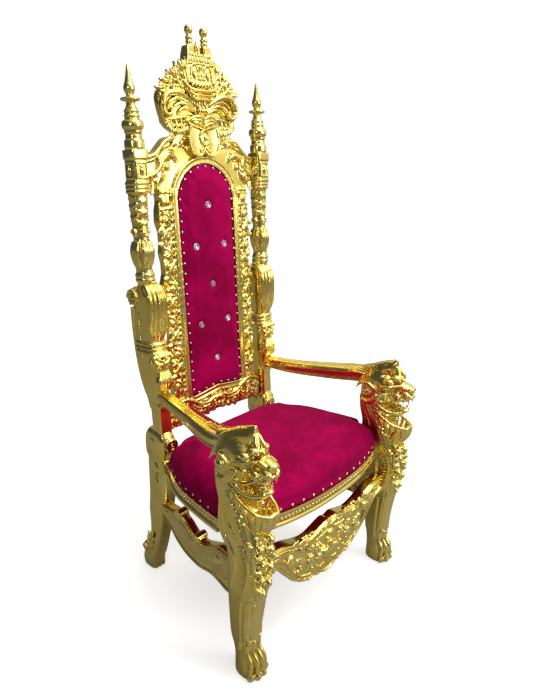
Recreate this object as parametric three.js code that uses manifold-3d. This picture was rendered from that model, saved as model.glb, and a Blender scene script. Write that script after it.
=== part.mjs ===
// A tall carved throne: turned finials, a leaning back with a velvet panel, lion-headed front legs,
// carved stretchers and a domed velvet seat, gilded all over.
// Millimetres, +Z up. The sitter looks along -Y. The origin is on the floor, under the middle.
import * as THREE from "three";
import { mergeVertices } from "three/addons/utils/BufferGeometryUtils.js";
import Module from "manifold-3d";

const GAP = 0.3; // clearance between pieces that touch
const FLOOR = 9; // heights below are measured from this far under the soles

// The back leans: its plane meets the floor at BACK_FOOT and rises with this slope.
const BACK_FOOT = 182;
const LEAN = Math.atan(0.0925);

// Posts and finials, as heights measured along the lean.
const POST_X = 263;
const POST_TOP = 1476;
const POST_HALF = 29;
const FINIAL_HEIGHT = 234;

// The carved board of the back.
const BOARD_THICK = 33;
const PAD_HALF = 120;
const PAD_TOP = 1437;
const PAD_BOTTOM = 657;
const PAD_PROUD = 15;
const BAND_WIDTH = 25;
const BAND_PROUD = 8;
const RAIL_TOP = 1522;
const FRAME_HALF = POST_X - 31 - GAP;
const FOOT_HALF = 222;

// The seat slopes up a little towards the front.
const SEAT_TOP = 483;
const SEAT_SLOPE = 0.055;
const RAIL_HEIGHT = 47;
const RAIL_THICK = 38;
const SEAT_DOME = 92;
const SEAT_MIDDLE = -35;

// Front legs.
const LEG_X = 355;
const HEAD_X = 349;

const gold = new THREE.MeshStandardMaterial({ color: 0xe6be28, roughness: 0.22, metalness: 1 });
const velvet = new THREE.MeshStandardMaterial({ color: 0x96003c, roughness: 0.9, metalness: 0 });
const crystal = new THREE.MeshStandardMaterial({ color: 0xe8eef4, roughness: 0.05, metalness: 0.1 });

const wasm = await Module();
wasm.setup();

// ---------------------------------------------------------------- solids

// A manifold solid from any closed geometry, turned right side out.
function solid(geometry) {
  const bare = geometry.clone();
  bare.deleteAttribute("normal");
  bare.deleteAttribute("uv");
  const merged = mergeVertices(bare, 1e-3);
  const place = merged.attributes.position;
  const corner = [new THREE.Vector3(), new THREE.Vector3(), new THREE.Vector3()];
  const triangles = [];
  let volume = 0;
  for (let i = 0; i < merged.index.count; i += 3) {
    const triple = [0, 1, 2].map((k) => merged.index.getX(i + k));
    if (new Set(triple).size < 3) continue;
    triple.forEach((v, k) => corner[k].fromBufferAttribute(place, v));
    volume += corner[0].dot(corner[1].clone().cross(corner[2]));
    triangles.push(triple);
  }
  if (volume < 0) triangles.forEach((triple) => triple.reverse());
  return new wasm.Manifold(new wasm.Mesh({
    numProp: 3,
    vertProperties: new Float32Array(place.array),
    triVerts: new Uint32Array(triangles.flat()),
  }));
}

// A geometry from a solid; side -1 mirrors it to the other arm of the chair.
function geometryOf(piece, side = 1) {
  const { vertProperties, triVerts } = piece.getMesh();
  const places = Float32Array.from(vertProperties, (v, i) => (i % 3 === 0 ? side * v : v));
  const order = Array.from(triVerts);
  if (side < 0) {
    for (let i = 0; i < order.length; i += 3) {
      [order[i + 1], order[i + 2]] = [order[i + 2], order[i + 1]];
    }
  }
  const geometry = new THREE.BufferGeometry();
  geometry.setAttribute("position", new THREE.BufferAttribute(places, 3));
  geometry.setIndex(order);
  return geometry;
}

function join(parts) {
  return parts.map((p) => (p.isBufferGeometry ? solid(p) : p)).reduce((a, b) => a.add(b));
}

// Cuts a neighbour out of a piece and leaves GAP all round it.
function clear(piece, neighbour) {
  const { vertProperties, triVerts } = neighbour.getMesh();
  let left = piece;
  for (const [dx, dy, dz] of [[1, 0, 0], [-1, 0, 0], [0, 1, 0], [0, -1, 0], [0, 0, 1], [0, 0, -1]]) {
    const step = [dx * GAP, dy * GAP, dz * GAP];
    const vertices = Float32Array.from(vertProperties, (v, i) => v + step[i % 3]);
    left = left.subtract(new wasm.Manifold(new wasm.Mesh({ numProp: 3, vertProperties: vertices, triVerts })));
  }
  return left;
}

// A closed solid through rings of points, with flat ends.
function loft(rings) {
  const count = rings[0].length;
  const middle = (ring) => ring.reduce((s, p) => s.add(p), new THREE.Vector3()).divideScalar(count);
  const points = [...rings.flat(), middle(rings[0]), middle(rings.at(-1))];
  const index = [];
  const first = rings.length * count;
  for (let i = 0; i < count; i += 1) {
    const j = (i + 1) % count;
    for (let r = 0; r + 1 < rings.length; r += 1) {
      const [a, b] = [r * count + i, r * count + j];
      index.push(a, b, b + count, a, b + count, a + count);
    }
    const top = (rings.length - 1) * count;
    index.push(first, j, i, first + 1, top + i, top + j);
  }
  const geometry = new THREE.BufferGeometry();
  geometry.setAttribute("position", new THREE.Float32BufferAttribute(points.flatMap((p) => p.toArray()), 3));
  geometry.setIndex(index);
  return geometry;
}

// A level ring, between a diamond (power 1), an oval (2) and a box (high power).
function ring(x, y, z, rx, ry, power = 3, count = 8) {
  const bend = (v) => Math.sign(v) * Math.abs(v) ** (2 / power);
  return Array.from({ length: count }, (_, i) => {
    const angle = ((i + 0.5) / count) * 2 * Math.PI;
    return new THREE.Vector3(x + rx * bend(Math.cos(angle)), y + ry * bend(Math.sin(angle)), z);
  });
}

function ball(x, y, z, rx, ry, rz, around = 5, tiers = 3) {
  const geometry = new THREE.SphereGeometry(1, around, tiers);
  geometry.rotateX(Math.PI / 2);
  geometry.scale(rx, ry, rz);
  geometry.translate(x, y, z);
  return geometry;
}

function turned(profile, around = 12) {
  const geometry = new THREE.LatheGeometry(profile.map(([r, z]) => new THREE.Vector2(r, z)), around);
  geometry.rotateX(Math.PI / 2);
  return geometry;
}

// A plate with an outline of [x, z] points, its front at y = front and its back at y = back.
function plate(outline, front, back, hole = null) {
  const shape = new THREE.Shape(outline.map(([x, z]) => new THREE.Vector2(x, z)));
  if (hole) shape.holes.push(new THREE.Path(hole.map(([x, z]) => new THREE.Vector2(x, z))));
  const geometry = new THREE.ExtrudeGeometry(shape, { depth: back - front, bevelEnabled: false, steps: 1 });
  geometry.rotateX(Math.PI / 2);
  geometry.translate(0, back, 0);
  return geometry;
}

// A carved cord or tendril: a round section pushed along a curve of points.
function tendril(points, radius, steps = points.length - 1, sides = 3) {
  const route = new THREE.CatmullRomCurve3(points.map((p) => new THREE.Vector3(...p)));
  const section = new THREE.Shape();
  for (let i = 0; i < sides; i += 1) {
    const angle = (i / sides) * 2 * Math.PI;
    section[i ? "lineTo" : "moveTo"](radius * Math.cos(angle), radius * Math.sin(angle));
  }
  return new THREE.ExtrudeGeometry(section, { extrudePath: route, steps, bevelEnabled: false });
}

// A carved leaf on a face of the back: an almond with a ridge, lying at an angle in the x-z plane.
function leaf(x, z, angle, length, width, front, proud) {
  const along = [0, 0.45, 1];
  const wide = [0.35, 1, 0.08];
  const rings = along.map((t, k) => {
    const half = (wide[k] * width) / 2;
    const depth = proud * (0.4 + 0.6 * wide[k]);
    return [[half, 3], [0, -depth], [-half, 3]].map(([across, y]) => new THREE.Vector3(
      x + t * length * Math.cos(angle) - across * Math.sin(angle),
      front + y,
      z + t * length * Math.sin(angle) + across * Math.cos(angle),
    ));
  });
  return loft(rings);
}

// The block of space under the soles round a foot.
function underFloor(x, y) {
  const block = new THREE.BoxGeometry(400, 400, 200);
  block.translate(x, y, FLOOR - 100);
  return solid(block);
}

// Mirrors an outline's right half, given from the bottom up, into a whole closed outline.
function bothSides(half) {
  return [...half, ...half.filter(([x]) => x > 0).reverse().map(([x, z]) => [-x, z])];
}

// ---------------------------------------------------------------- finials and posts

// A spike over a bulb, a thin disc, a grooved collar, a thick ring and a plain block.
function finial() {
  const profile = [
    [0, GAP], [POST_HALF, GAP], [POST_HALF, 24], [24, 40], [25, 54], [31, 62], [31, 78], [22, 86],
    [20, 114], [15, 120], [14, 131], [27, 137], [11, 146], [16, 165], [12, 180], [5, 216], [0, FINIAL_HEIGHT],
  ];
  return solid(turned(profile, 8));
}

// The upper post in the leaning frame: [height, middle, half-width, front, back, squareness].
const POST_SECTIONS = [
  [560, 250, 25, -16, 36, 5], [652, 250, 25, -16, 36, 5], [656, 250, 28, -20, 40, 5],
  [670, 250, 28, -20, 44, 5], [700, 251, 30, -24, 58, 4], [740, 252, 34, -30, 74, 3],
  [800, 253, 32, -24, 80, 3], [822, 253, 35, -32, 80, 3], [846, 253, 32, -24, 80, 3],
  [852, 253, 36, -32, 80, 4], [882, 253, 36, -32, 80, 4], [888, 253, 34, -26, 80, 3],
  [985, 254, 38, -36, 74, 3], [1040, 256, 38, -38, 68, 3], [1064, 258, 34, -26, 52, 3],
  [1078, 260, 28, -18, 40, 3], [1088, 261, 31, -20, 42, 3], [1108, 262, 31, -20, 42, 3],
  [1122, 263, 26, -15, 38, 3], [1175, 263, 31, -20, 42, 3], [1216, 263, 24, -13, 35, 3],
  [1236, 263, 29, -18, 39, 3], [1256, 263, 25, -15, 35, 3], [1350, 263, 27, -20, 34, 5],
  [1355, 263, 30, -25, 37, 6], [1380, 263, 30, -27, 35, 6], [1386, 263, POST_HALF, -27, 31, 5],
  [POST_TOP, 263, POST_HALF, -29, 29, 5],
];

function toBack(geometry) {
  geometry.rotateX(-LEAN);
  geometry.translate(0, BACK_FOOT, 0);
  return geometry;
}

function post() {
  const shaft = loft(POST_SECTIONS.map(([z, x, half, front, back, power]) => ring(
    x, (front + back) / 2, z, half, (back - front) / 2, power,
  )));
  const reeds = [-16, 16].map((off) => {
    const x = 254 + off;
    return tendril([[x, -24, 886], [x, -32, 950], [x, -36, 1005], [x, -34, 1042], [x, -16, 1066]], 12, 3);
  });
  const volute = new THREE.CylinderGeometry(32, 32, 88, 8);
  volute.rotateZ(Math.PI / 2);
  volute.translate(255, 46, 1034);
  const rosette = ball(POST_X, -15, 1236, 15, 9, 15);
  const husk = leaf(POST_X, 1212, -Math.PI / 2, 90, 34, -13, 10);
  const upper = [shaft, ...reeds, volute, rosette, husk].map(toBack);

  // The scroll block with a coil on its face, and the leg with its turned-back foot.
  const block = loft([[455, 26, 44], [472, 33, 52], [522, 34, 55], [554, 31, 50], [570, 25, 38]]
    .map(([z, half, deep]) => ring(252, 258, z, half, deep, 4)));
  const coil = new THREE.CylinderGeometry(29, 29, 30, 8);
  coil.translate(246, 206, 520);
  const leg = loft([
    [0, 278, 281, 26, 28, 4], [18, 278, 282, 30, 34, 4], [56, 277, 280, 30, 38, 4],
    [74, 276, 268, 28, 34, 4], [160, 273, 244, 27, 30, 5], [260, 270, 240, 28, 41, 5],
    [330, 266, 234, 28, 46, 5], [430, 258, 238, 29, 54, 5], [470, 253, 250, 28, 50, 5],
  ].map(([z, x, y, half, deep, power]) => ring(x, y, z, half, deep, power)));
  const heelScroll = new THREE.CylinderGeometry(15, 15, 52, 8);
  heelScroll.rotateZ(Math.PI / 2);
  heelScroll.translate(277, 306, 84);
  const heelLeaf = ball(277, 308, 50, 20, 13, 24);
  return join([...upper, block, coil, leg, heelScroll, heelLeaf]).subtract(underFloor(POST_X, 260));
}

// ---------------------------------------------------------------- the back

// The right half of the rail's top edge, an ogee from the post up to the middle.
const RAIL_EDGE = [[229, 1464], [197, 1472], [178, 1487], [160, 1506], [136, 1520], [0, RAIL_TOP]];

function padOutline(grow) {
  const half = PAD_HALF + grow;
  const arch = Array.from({ length: 7 }, (_, i) => {
    const angle = (i / 12) * Math.PI;
    return [half * Math.cos(angle), PAD_TOP - PAD_HALF + half * Math.sin(angle)];
  });
  const foot = [[0, PAD_BOTTOM + 14 - grow], [70, PAD_BOTTOM + 4 - grow], [half - 14, PAD_BOTTOM - grow]];
  return bothSides([...foot, [half, PAD_BOTTOM + 14 - grow], ...arch]);
}

function backFrame() {
  const wavy = Array.from({ length: 10 }, (_, i) => {
    const z = 700 + i * 72;
    return [195 + 7 * Math.sin(i * 2.3) + 8 * (i > 8), z];
  });
  const half = [
    [0, 572], [FOOT_HALF, 560], [FOOT_HALF, 640], [205, 668], ...wavy,
    [219, 1382], [FRAME_HALF, 1390], [FRAME_HALF, 1463], ...RAIL_EDGE,
  ];
  const board = solid(plate(bothSides(half), 0, BOARD_THICK, padOutline(GAP)));
  const band = solid(plate(padOutline(BAND_WIDTH), -BAND_PROUD, 4, padOutline(GAP)));
  const carving = [];
  for (const side of [-1, 1]) {
    for (let i = 0; i < 5; i += 1) {
      const z = 730 + i * 134;
      const x = side * 170;
      const out = side > 0 ? 0 : Math.PI;
      carving.push(leaf(x - side * 14, z, out + side * 0.9, 58, 28, 0, 12));
      carving.push(leaf(x + side * 4, z - 10, out - side * 0.7, 42, 22, 0, 11));
    }
    carving.push(tendril([
      [side * 228, 0, 1412], [side * 200, 0, 1420], [side * 172, 0, 1452], [side * 136, 0, 1486],
    ], 8, 4));
    carving.push(tendril([
      [side * 226, 0, 1450], [side * 194, 0, 1460], [side * 170, 0, 1480], [side * 138, 0, 1508],
    ], 7, 4));
    carving.push(leaf(side * 160, 1395, Math.PI / 2, 60, 34, 0, 12));
    carving.push(tendril([
      [side * 30, 0, 632], [side * 100, 0, 624], [side * 150, 0, 640], [side * 200, 0, 652],
    ], 9, 4));
    for (let i = 0; i < 3; i += 1) {
      carving.push(leaf(side * (30 + 56 * i), 610 + 9 * i, -Math.PI / 2 + side * 0.25, 46, 30, 0, 12));
    }
  }
  const span = bothSides([[0, 500], [FOOT_HALF, 500], [FOOT_HALF, 1200], [FRAME_HALF, 1300], [FRAME_HALF, 1600]]);
  return join([board, band, ...carving]).intersect(solid(plate(span, -100, 100)));
}

// The crest's edge, right half from the bottom up: leaves and wing, then the crown and turret.
const CREST_EDGE = [
  [0, 1450], [126, 1450], [130, 1542], [144, 1557], [154, 1607], [161, 1632],
  [163, 1654], [138, 1674], [110, 1693], [115, 1714], [92, 1706], [83, 1737], [64, 1720], [0, 1720],
];
const CROWN_EDGE = [
  [0, 1690], [60, 1690], [62, 1722], [50, 1768], [42, 1790], [20, 1790], [20, 1762], [8, 1762], [8, 1790],
  [0, 1806],
];
const CROWN_FRONT = -15;

function crest() {
  const parts = [solid(plate(bothSides(CREST_EDGE), 0, BOARD_THICK))];
  parts.push(plate(bothSides(CROWN_EDGE), CROWN_FRONT, 20));
  const rail = [[-300, 1300], [300, 1300], ...RAIL_EDGE.map(([x, z]) => [x, z + GAP]),
    ...RAIL_EDGE.slice(0, -1).reverse().map(([x, z]) => [-x, z + GAP])];
  const shield = [[0, 1470], [14, 1462], [34, 1460], [54, 1470], [64, 1500], [62, 1545], [50, 1561], [0, 1556]];
  parts.push(plate(bothSides(shield), -14, 4));
  for (const side of [-1, 1]) {
    const at = (x, z) => [side * x, 0, z];
    parts.push(ball(side * 30, -2, 1830, 13, 14, 13, 8, 4));
    parts.push(loft([[1776, 11], [1792, 8], [1800, 12], [1808, 8], [1822, 8]]
      .map(([z, r]) => ring(side * 30, -2, z, r, r, 2, 6))));
    parts.push(tendril([at(14, 1598), at(60, 1634), at(110, 1642), at(146, 1618), at(140, 1588), at(112, 1584)], 10, 7));
    parts.push(tendril([at(20, 1590), at(64, 1616), at(104, 1620), at(124, 1602)], 7, 4));
    parts.push(tendril([at(0, 1560), at(34, 1580), at(66, 1562)], 8, 3));
    parts.push(ball(side * 26, -16, 1484, 12, 8, 12));
    for (let i = 0; i < 2; i += 1) {
      const angle = Math.PI / 2 - 0.3 - 0.5 * i;
      parts.push(leaf(side * (74 + 26 * i), 1660 - 20 * i, side > 0 ? angle : Math.PI - angle, 58, 34, 0, 12));
      parts.push(leaf(side * (80 + 26 * i), 1562 - 10 * i, side > 0 ? -1.3 : Math.PI + 1.3, 42, 28, 0, 11));
    }
  }
  parts.push(loft([[1636, 54], [1644, 62], [1654, 62], [1664, 70], [1672, 66]]
    .map(([z, half]) => ring(0, 0, z, half, 22, 5))));
  parts.push(ball(0, -4, 1606, 34, 16, 24));
  parts.push(ball(0, -14, 1518, 20, 10, 22));
  parts.push(plate(bothSides([[0, 1684], [46, 1684], [40, 1744], [0, 1752]]), CROWN_FRONT - 8, 4));
  parts.push(loft([[1752, 12], [1785, 9], [1806, 1]].map(([z, r]) => ring(0, 0, z, r, r, 2, 6))));
  return join(parts).subtract(solid(plate(rail, -GAP, BOARD_THICK + 40)));
}

function insetPanel(front, back, crown) {
  const level = (grow, y) => padOutline(grow).map(([x, z]) => new THREE.Vector3(x, y, z));
  const rings = [level(0, back), level(0, front)];
  if (crown > 0) rings.push(level(-6, front - crown * 0.7), level(-18, front - crown));
  return solid(loft(rings));
}

const BUTTON_ROWS = [[1307, [0]], [1174, [-62, 62]], [1041, [0]], [908, [-62, 62]], [775, [0]]];

function button(x, z) {
  const geometry = turned([[0, 0], [12, 0], [12, 4], [0, 9]], 8);
  geometry.rotateX(Math.PI / 2);
  geometry.translate(x, -PAD_PROUD - GAP, z);
  return solid(geometry);
}

// ---------------------------------------------------------------- front legs with lion heads

// The beast's body from paw to neck: [z, x, y, half-width, half-depth, squareness].
const BEAST_SECTIONS = [
  [0, 355, -317, 38, 46, 3], [22, 355, -318, 42, 50, 3], [64, 355, -301, 38, 46, 3],
  [110, 355, -273, 28, 34, 3], [240, 355, -272, 38, 40, 4], [370, 355, -283, 45, 60, 4],
  [445, 355, -280, 46, 68, 4], [490, 354, -258, 46, 82, 4], [530, 353, -248, 46, 88, 3],
  [590, 351, -240, 48, 88, 3], [640, 350, -228, 50, 78, 3], [700, 349, -222, 54, 72, 2.5],
  [750, 349, -226, 48, 64, 2.5], [775, 349, -232, 36, 50, 2.5],
];

function frontLeg() {
  const body = loft(BEAST_SECTIONS.map(([z, x, y, half, deep, power]) => ring(x, y, z, half, deep, power)));
  const pieces = [body];
  const pair = (make) => [-1, 1].forEach((side) => pieces.push(make(side)));

  // Head: skull, muzzle, nose, lips, brows, cheeks, ears, jaw, chin and the tuft between the brows.
  pieces.push(ball(HEAD_X, -268, 730, 54, 58, 56, 7, 5));
  pieces.push(ball(HEAD_X, -322, 734, 27, 40, 26));
  pieces.push(ball(HEAD_X, -350, 732, 17, 17, 15, 6, 4));
  pair((side) => ball(HEAD_X + side * 16, -338, 712, 18, 26, 17));
  pair((side) => ball(HEAD_X + side * 21, -300, 764, 21, 22, 14));
  pair((side) => ball(HEAD_X + side * 36, -286, 716, 23, 30, 28));
  pair((side) => ball(HEAD_X + side * 51, -250, 742, 10, 13, 16));
  pieces.push(ball(HEAD_X, -312, 668, 27, 34, 12));
  pieces.push(ball(HEAD_X, -318, 646, 22, 18, 28));
  pieces.push(ball(HEAD_X, -240, 788, 28, 36, 22));
  pair((side) => ball(HEAD_X + side * 34, -226, 766, 20, 40, 20));

  // The bib of long hair under the chin, and the locks of the mane behind.
  pieces.push(loft([[656, -288, 26, 24], [616, -296, 36, 34], [580, -310, 37, 40], [560, -320, 32, 38],
    [540, -316, 24, 28], [520, -306, 18, 22]].map(([z, y, half, deep]) => ring(HEAD_X, y, z, half, deep))));
  for (let i = 0; i < 2; i += 1) {
    pair((side) => ball(HEAD_X + side * (44 - 4 * i), -194 - 16 * i, 696 - 74 * i, 18, 34, 44));
  }

  // The garland that hangs down the front, and the toes.
  for (let i = 0; i < 4; i += 1) {
    pieces.push(ball(LEG_X + (i % 2 ? 8 : -8), -342 + 2 * i * i, 496 - 42 * i, 20, 12, 24));
  }
  for (let i = 0; i < 4; i += 1) {
    const across = i - 1.5;
    pieces.push(ball(LEG_X + 22 * across, -342 + 5 * across ** 2, 30, 12, 30, 24));
  }
  return join(pieces).subtract(underFloor(LEG_X, -300));
}

// ---------------------------------------------------------------- arms

// The arm's run: [y, x, bottom, top, half-width]. It splays out and rises towards the mane.
const ARM_RUN = [
  [262, 253, 672, 720, 23], [215, 256, 671, 720, 24], [160, 268, 670, 722, 26], [90, 285, 673, 728, 28],
  [20, 304, 680, 738, 31], [-50, 325, 687, 748, 35], [-110, 342, 696, 757, 38], [-150, 348, 702, 762, 38],
  [-200, 349, 708, 764, 34],
];

function arm(backPost, beast) {
  const sections = ARM_RUN.map(([y, x, bottom, top, half]) => ring(x, 0, 0, half, (top - bottom) / 2, 3.5)
    .map((p) => new THREE.Vector3(p.x, y, (top + bottom) / 2 + p.y)));
  const behind = new THREE.BoxGeometry(200, 200, 400);
  behind.translate(POST_X, BACK_FOOT + 165, 700);
  const whole = solid(loft(sections)).subtract(solid(behind));
  return clear(clear(whole, backPost), beast);
}

// ---------------------------------------------------------------- seat

const seatTop = (y) => SEAT_TOP - SEAT_SLOPE * y;

// The outer edge of the seat in plan, from the middle of the front round to the rear post.
const SEAT_PLAN = [
  [0, -314], [90, -311], [180, -299], [270, -276], [352, -250], [377, -170], [370, -100], [358, -20],
  [344, 50], [322, 110], [296, 155], [282, 190],
];

function rail(run, lower = 0) {
  const rings = run.map(([x, y], i) => {
    const before = run[Math.max(i - 1, 0)];
    const after = run[Math.min(i + 1, run.length - 1)];
    const along = new THREE.Vector2(after[0] - before[0], after[1] - before[1]).normalize();
    const inward = new THREE.Vector2(-along.y, along.x);
    const profile = [[0, 8], [6, 12], [6, 34], [0, 38], [0, RAIL_HEIGHT - lower], [RAIL_THICK, RAIL_HEIGHT - lower],
      [RAIL_THICK, 0], [4, 0]];
    return profile.map(([inset, up]) => {
      const deep = y + inward.y * inset;
      return new THREE.Vector3(x + inward.x * inset, deep, seatTop(deep) - RAIL_HEIGHT + up);
    });
  });
  return solid(loft(rings));
}

function frontRail(beasts) {
  const half = SEAT_PLAN.slice(0, 5);
  const run = [...half.slice(1).reverse().map(([x, y]) => [-x, y]), ...half];
  return beasts.reduce(clear, rail(run));
}

function sideRail(backPost, beast) {
  return clear(clear(rail(SEAT_PLAN.slice(5)), backPost), beast);
}

function backRail() {
  const half = POST_X - 46;
  const box = new THREE.BoxGeometry(2 * half, RAIL_THICK, RAIL_HEIGHT);
  box.translate(0, 240, seatTop(240) - RAIL_HEIGHT / 2);
  return solid(box);
}

function seatPad() {
  const edge = SEAT_PLAN;
  const whole = [...edge, [214, 220], [190, 224], [0, 224]];
  const outline = [...whole, ...whole.filter(([x]) => x > 0).reverse().map(([x, y]) => [-x, y])];
  const levels = [[0, 0.985], [34, 0.99], [70, 0.88], [SEAT_DOME, 0.5]];
  const rings = levels.map(([up, size]) => outline.map(([x, y]) => {
    const deep = SEAT_MIDDLE + (y - SEAT_MIDDLE) * size;
    return new THREE.Vector3(x * size, deep, seatTop(deep) + GAP + up);
  }));
  const notch = (x, y, wide, deep) => {
    const block = new THREE.BoxGeometry(wide, deep, 400);
    block.translate(x, y, SEAT_TOP);
    return solid(block);
  };
  let pad = solid(loft(rings));
  for (const side of [-1, 1]) {
    pad = pad.subtract(notch(side * 362, -252, 120, 192));
    pad = pad.subtract(notch(side * 277, 250, 122, 140));
  }
  return pad;
}

// ---------------------------------------------------------------- stretchers

function frontStretcher(beasts) {
  const upper = [[330, 392], [285, 394], [240, 390], [200, 378], [165, 364], [130, 354], [100, 352],
    [60, 362], [24, 372], [0, 366]];
  const lower = [[0, 164], [40, 176], [72, 184], [100, 182], [130, 196], [170, 222], [215, 270],
    [258, 318], [290, 334], [330, 340]];
  const board = solid(plate(bothSides([...lower, ...upper]), -308, -266));
  const carving = [ball(0, -306, 280, 46, 12, 40)];
  for (const side of [-1, 1]) {
    for (let i = 0; i < 3; i += 1) {
      carving.push(ball(side * (72 + 50 * i), -306, 274 + 22 * i, 21, 9, 21));
      carving.push(leaf(side * (40 + 48 * i), 240 + 16 * i, side > 0 ? -0.9 : Math.PI + 0.9, 44, 28, -308, 9));
      carving.push(leaf(side * (24 + 56 * i), 322 + 8 * i, side > 0 ? 0.5 : Math.PI - 0.5, 46, 24, -308, 9));
    }
  }
  return beasts.reduce(clear, join([board, ...carving]));
}

function sideStretcher(backPost, beast) {
  // Seen from the side: [y, bottom, top], with stepped scrolls along the upper edge.
  const run = [
    [240, 262, 312], [190, 258, 318], [138, 246, 330], [98, 226, 338], [50, 214, 334], [8, 213, 318],
    [-30, 216, 318], [-60, 224, 324], [-110, 242, 350], [-150, 246, 370], [-200, 244, 378], [-260, 262, 380],
  ];
  const middle = (y) => 270 + ((240 - y) / 480) * 84;
  const rings = run.map(([y, bottom, top]) => ring(middle(y), 0, 0, 21, (top - bottom) / 2, 5, 6)
    .map((p) => new THREE.Vector3(p.x, y, (top + bottom) / 2 + p.y)));
  const lobes = [[92, 338], [-24, 318]].map(([y, z]) => {
    const scroll = new THREE.CylinderGeometry(16, 16, 50, 8);
    scroll.rotateZ(Math.PI / 2);
    scroll.translate(middle(y), y, z);
    return scroll;
  });
  return clear(clear(join([loft(rings), ...lobes]), backPost), beast);
}

// ---------------------------------------------------------------- the whole chair

const throne = new THREE.Group();
const back = new THREE.Group();
back.position.y = BACK_FOOT;
back.rotation.x = -LEAN;
throne.add(back);

function add(group, name, piece, material, side = 1) {
  const mesh = new THREE.Mesh(geometryOf(piece, side), material.clone());
  mesh.name = name;
  group.add(mesh);
  return mesh;
}

const mirrored = (piece) => solid(geometryOf(piece, -1));
const backPost = post();
const beast = frontLeg();
const otherBeast = mirrored(beast);
const spike = finial();
const oneArm = arm(backPost, beast);
const oneSideRail = sideRail(backPost, beast);
const oneStretcher = sideStretcher(backPost, beast);

for (const [name, side] of [["right", 1], ["left", -1]]) {
  add(throne, `post_${name}`, backPost, gold, side);
  add(back, `finial_${name}`, spike, gold).position.set(side * POST_X, 0, POST_TOP);
  add(throne, `front_leg_${name}`, beast, gold, side);
  add(throne, `arm_${name}`, oneArm, gold, side);
  add(throne, `seat_rail_${name}`, oneSideRail, gold, side);
  add(throne, `stretcher_${name}`, oneStretcher, gold, side);
}
add(back, "crest", crest(), gold);
add(back, "back_frame", backFrame(), gold);
add(back, "back_pad", insetPanel(0, 14, PAD_PROUD), velvet);
add(back, "back_board", insetPanel(14 + GAP, BOARD_THICK, 0), velvet);
BUTTON_ROWS.flatMap(([z, places]) => places.map((x) => [x, z]))
  .forEach(([x, z], i) => add(back, `button_${i + 1}`, button(x, z), crystal));
add(throne, "seat_rail_front", frontRail([beast, otherBeast]), gold);
add(throne, "seat_rail_back", backRail(), gold);
add(throne, "seat_pad", seatPad(), velvet);
add(throne, "stretcher_front", frontStretcher([beast, otherBeast]), gold);

// The origin goes on the floor, under the middle of the whole chair.
throne.updateMatrixWorld(true);
const box = new THREE.Box3().setFromObject(throne, true);
throne.position.set(0, -(box.min.y + box.max.y) / 2, -FLOOR);

export default throne;
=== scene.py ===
import math
import bpy
import bmesh
import numpy as np
from mathutils import Matrix, Vector, noise


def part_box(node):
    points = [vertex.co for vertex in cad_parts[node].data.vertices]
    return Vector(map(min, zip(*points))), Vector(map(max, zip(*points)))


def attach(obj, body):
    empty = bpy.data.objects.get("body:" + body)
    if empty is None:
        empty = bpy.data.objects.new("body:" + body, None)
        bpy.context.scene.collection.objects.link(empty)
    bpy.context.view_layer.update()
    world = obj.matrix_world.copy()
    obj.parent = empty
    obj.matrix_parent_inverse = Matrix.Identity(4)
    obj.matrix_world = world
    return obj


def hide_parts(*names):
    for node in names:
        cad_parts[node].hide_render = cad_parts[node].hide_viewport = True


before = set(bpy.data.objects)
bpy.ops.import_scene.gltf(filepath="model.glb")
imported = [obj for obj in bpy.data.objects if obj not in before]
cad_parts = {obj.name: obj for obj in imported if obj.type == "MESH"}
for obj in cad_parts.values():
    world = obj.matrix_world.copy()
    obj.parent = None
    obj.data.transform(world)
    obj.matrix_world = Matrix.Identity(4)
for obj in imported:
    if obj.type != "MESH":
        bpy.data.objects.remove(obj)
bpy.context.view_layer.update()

# ---------------------------------------------------------------- finials
# A turned and gilded spike stands on each rear post, over a bulb, a thin disc, a collar and a thick ring.
# It is turned in the lathe in one piece, dowelled into the post, gessoed, gilded and burnished.

# The chair is drawn in millimetres from a floor 9 mm under the soles; its back leans from BACK_FOOT.
low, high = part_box("seat_rail_back")
SHIFT = Vector((0, (low[1] + high[1]) / 2 - 0.240, (low[2] + high[2]) / 2 - 0.4463))
STANDS = Matrix.Translation(SHIFT) @ Matrix.Diagonal((0.001, 0.001, 0.001, 1))
BACK_FOOT = 182
LEAN = math.atan(0.0925)
LEANS = STANDS @ Matrix.Translation((0, BACK_FOOT, 0)) @ Matrix.Rotation(-LEAN, 4, "X")
POST_X = 263
POST_TOP = 1476


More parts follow.
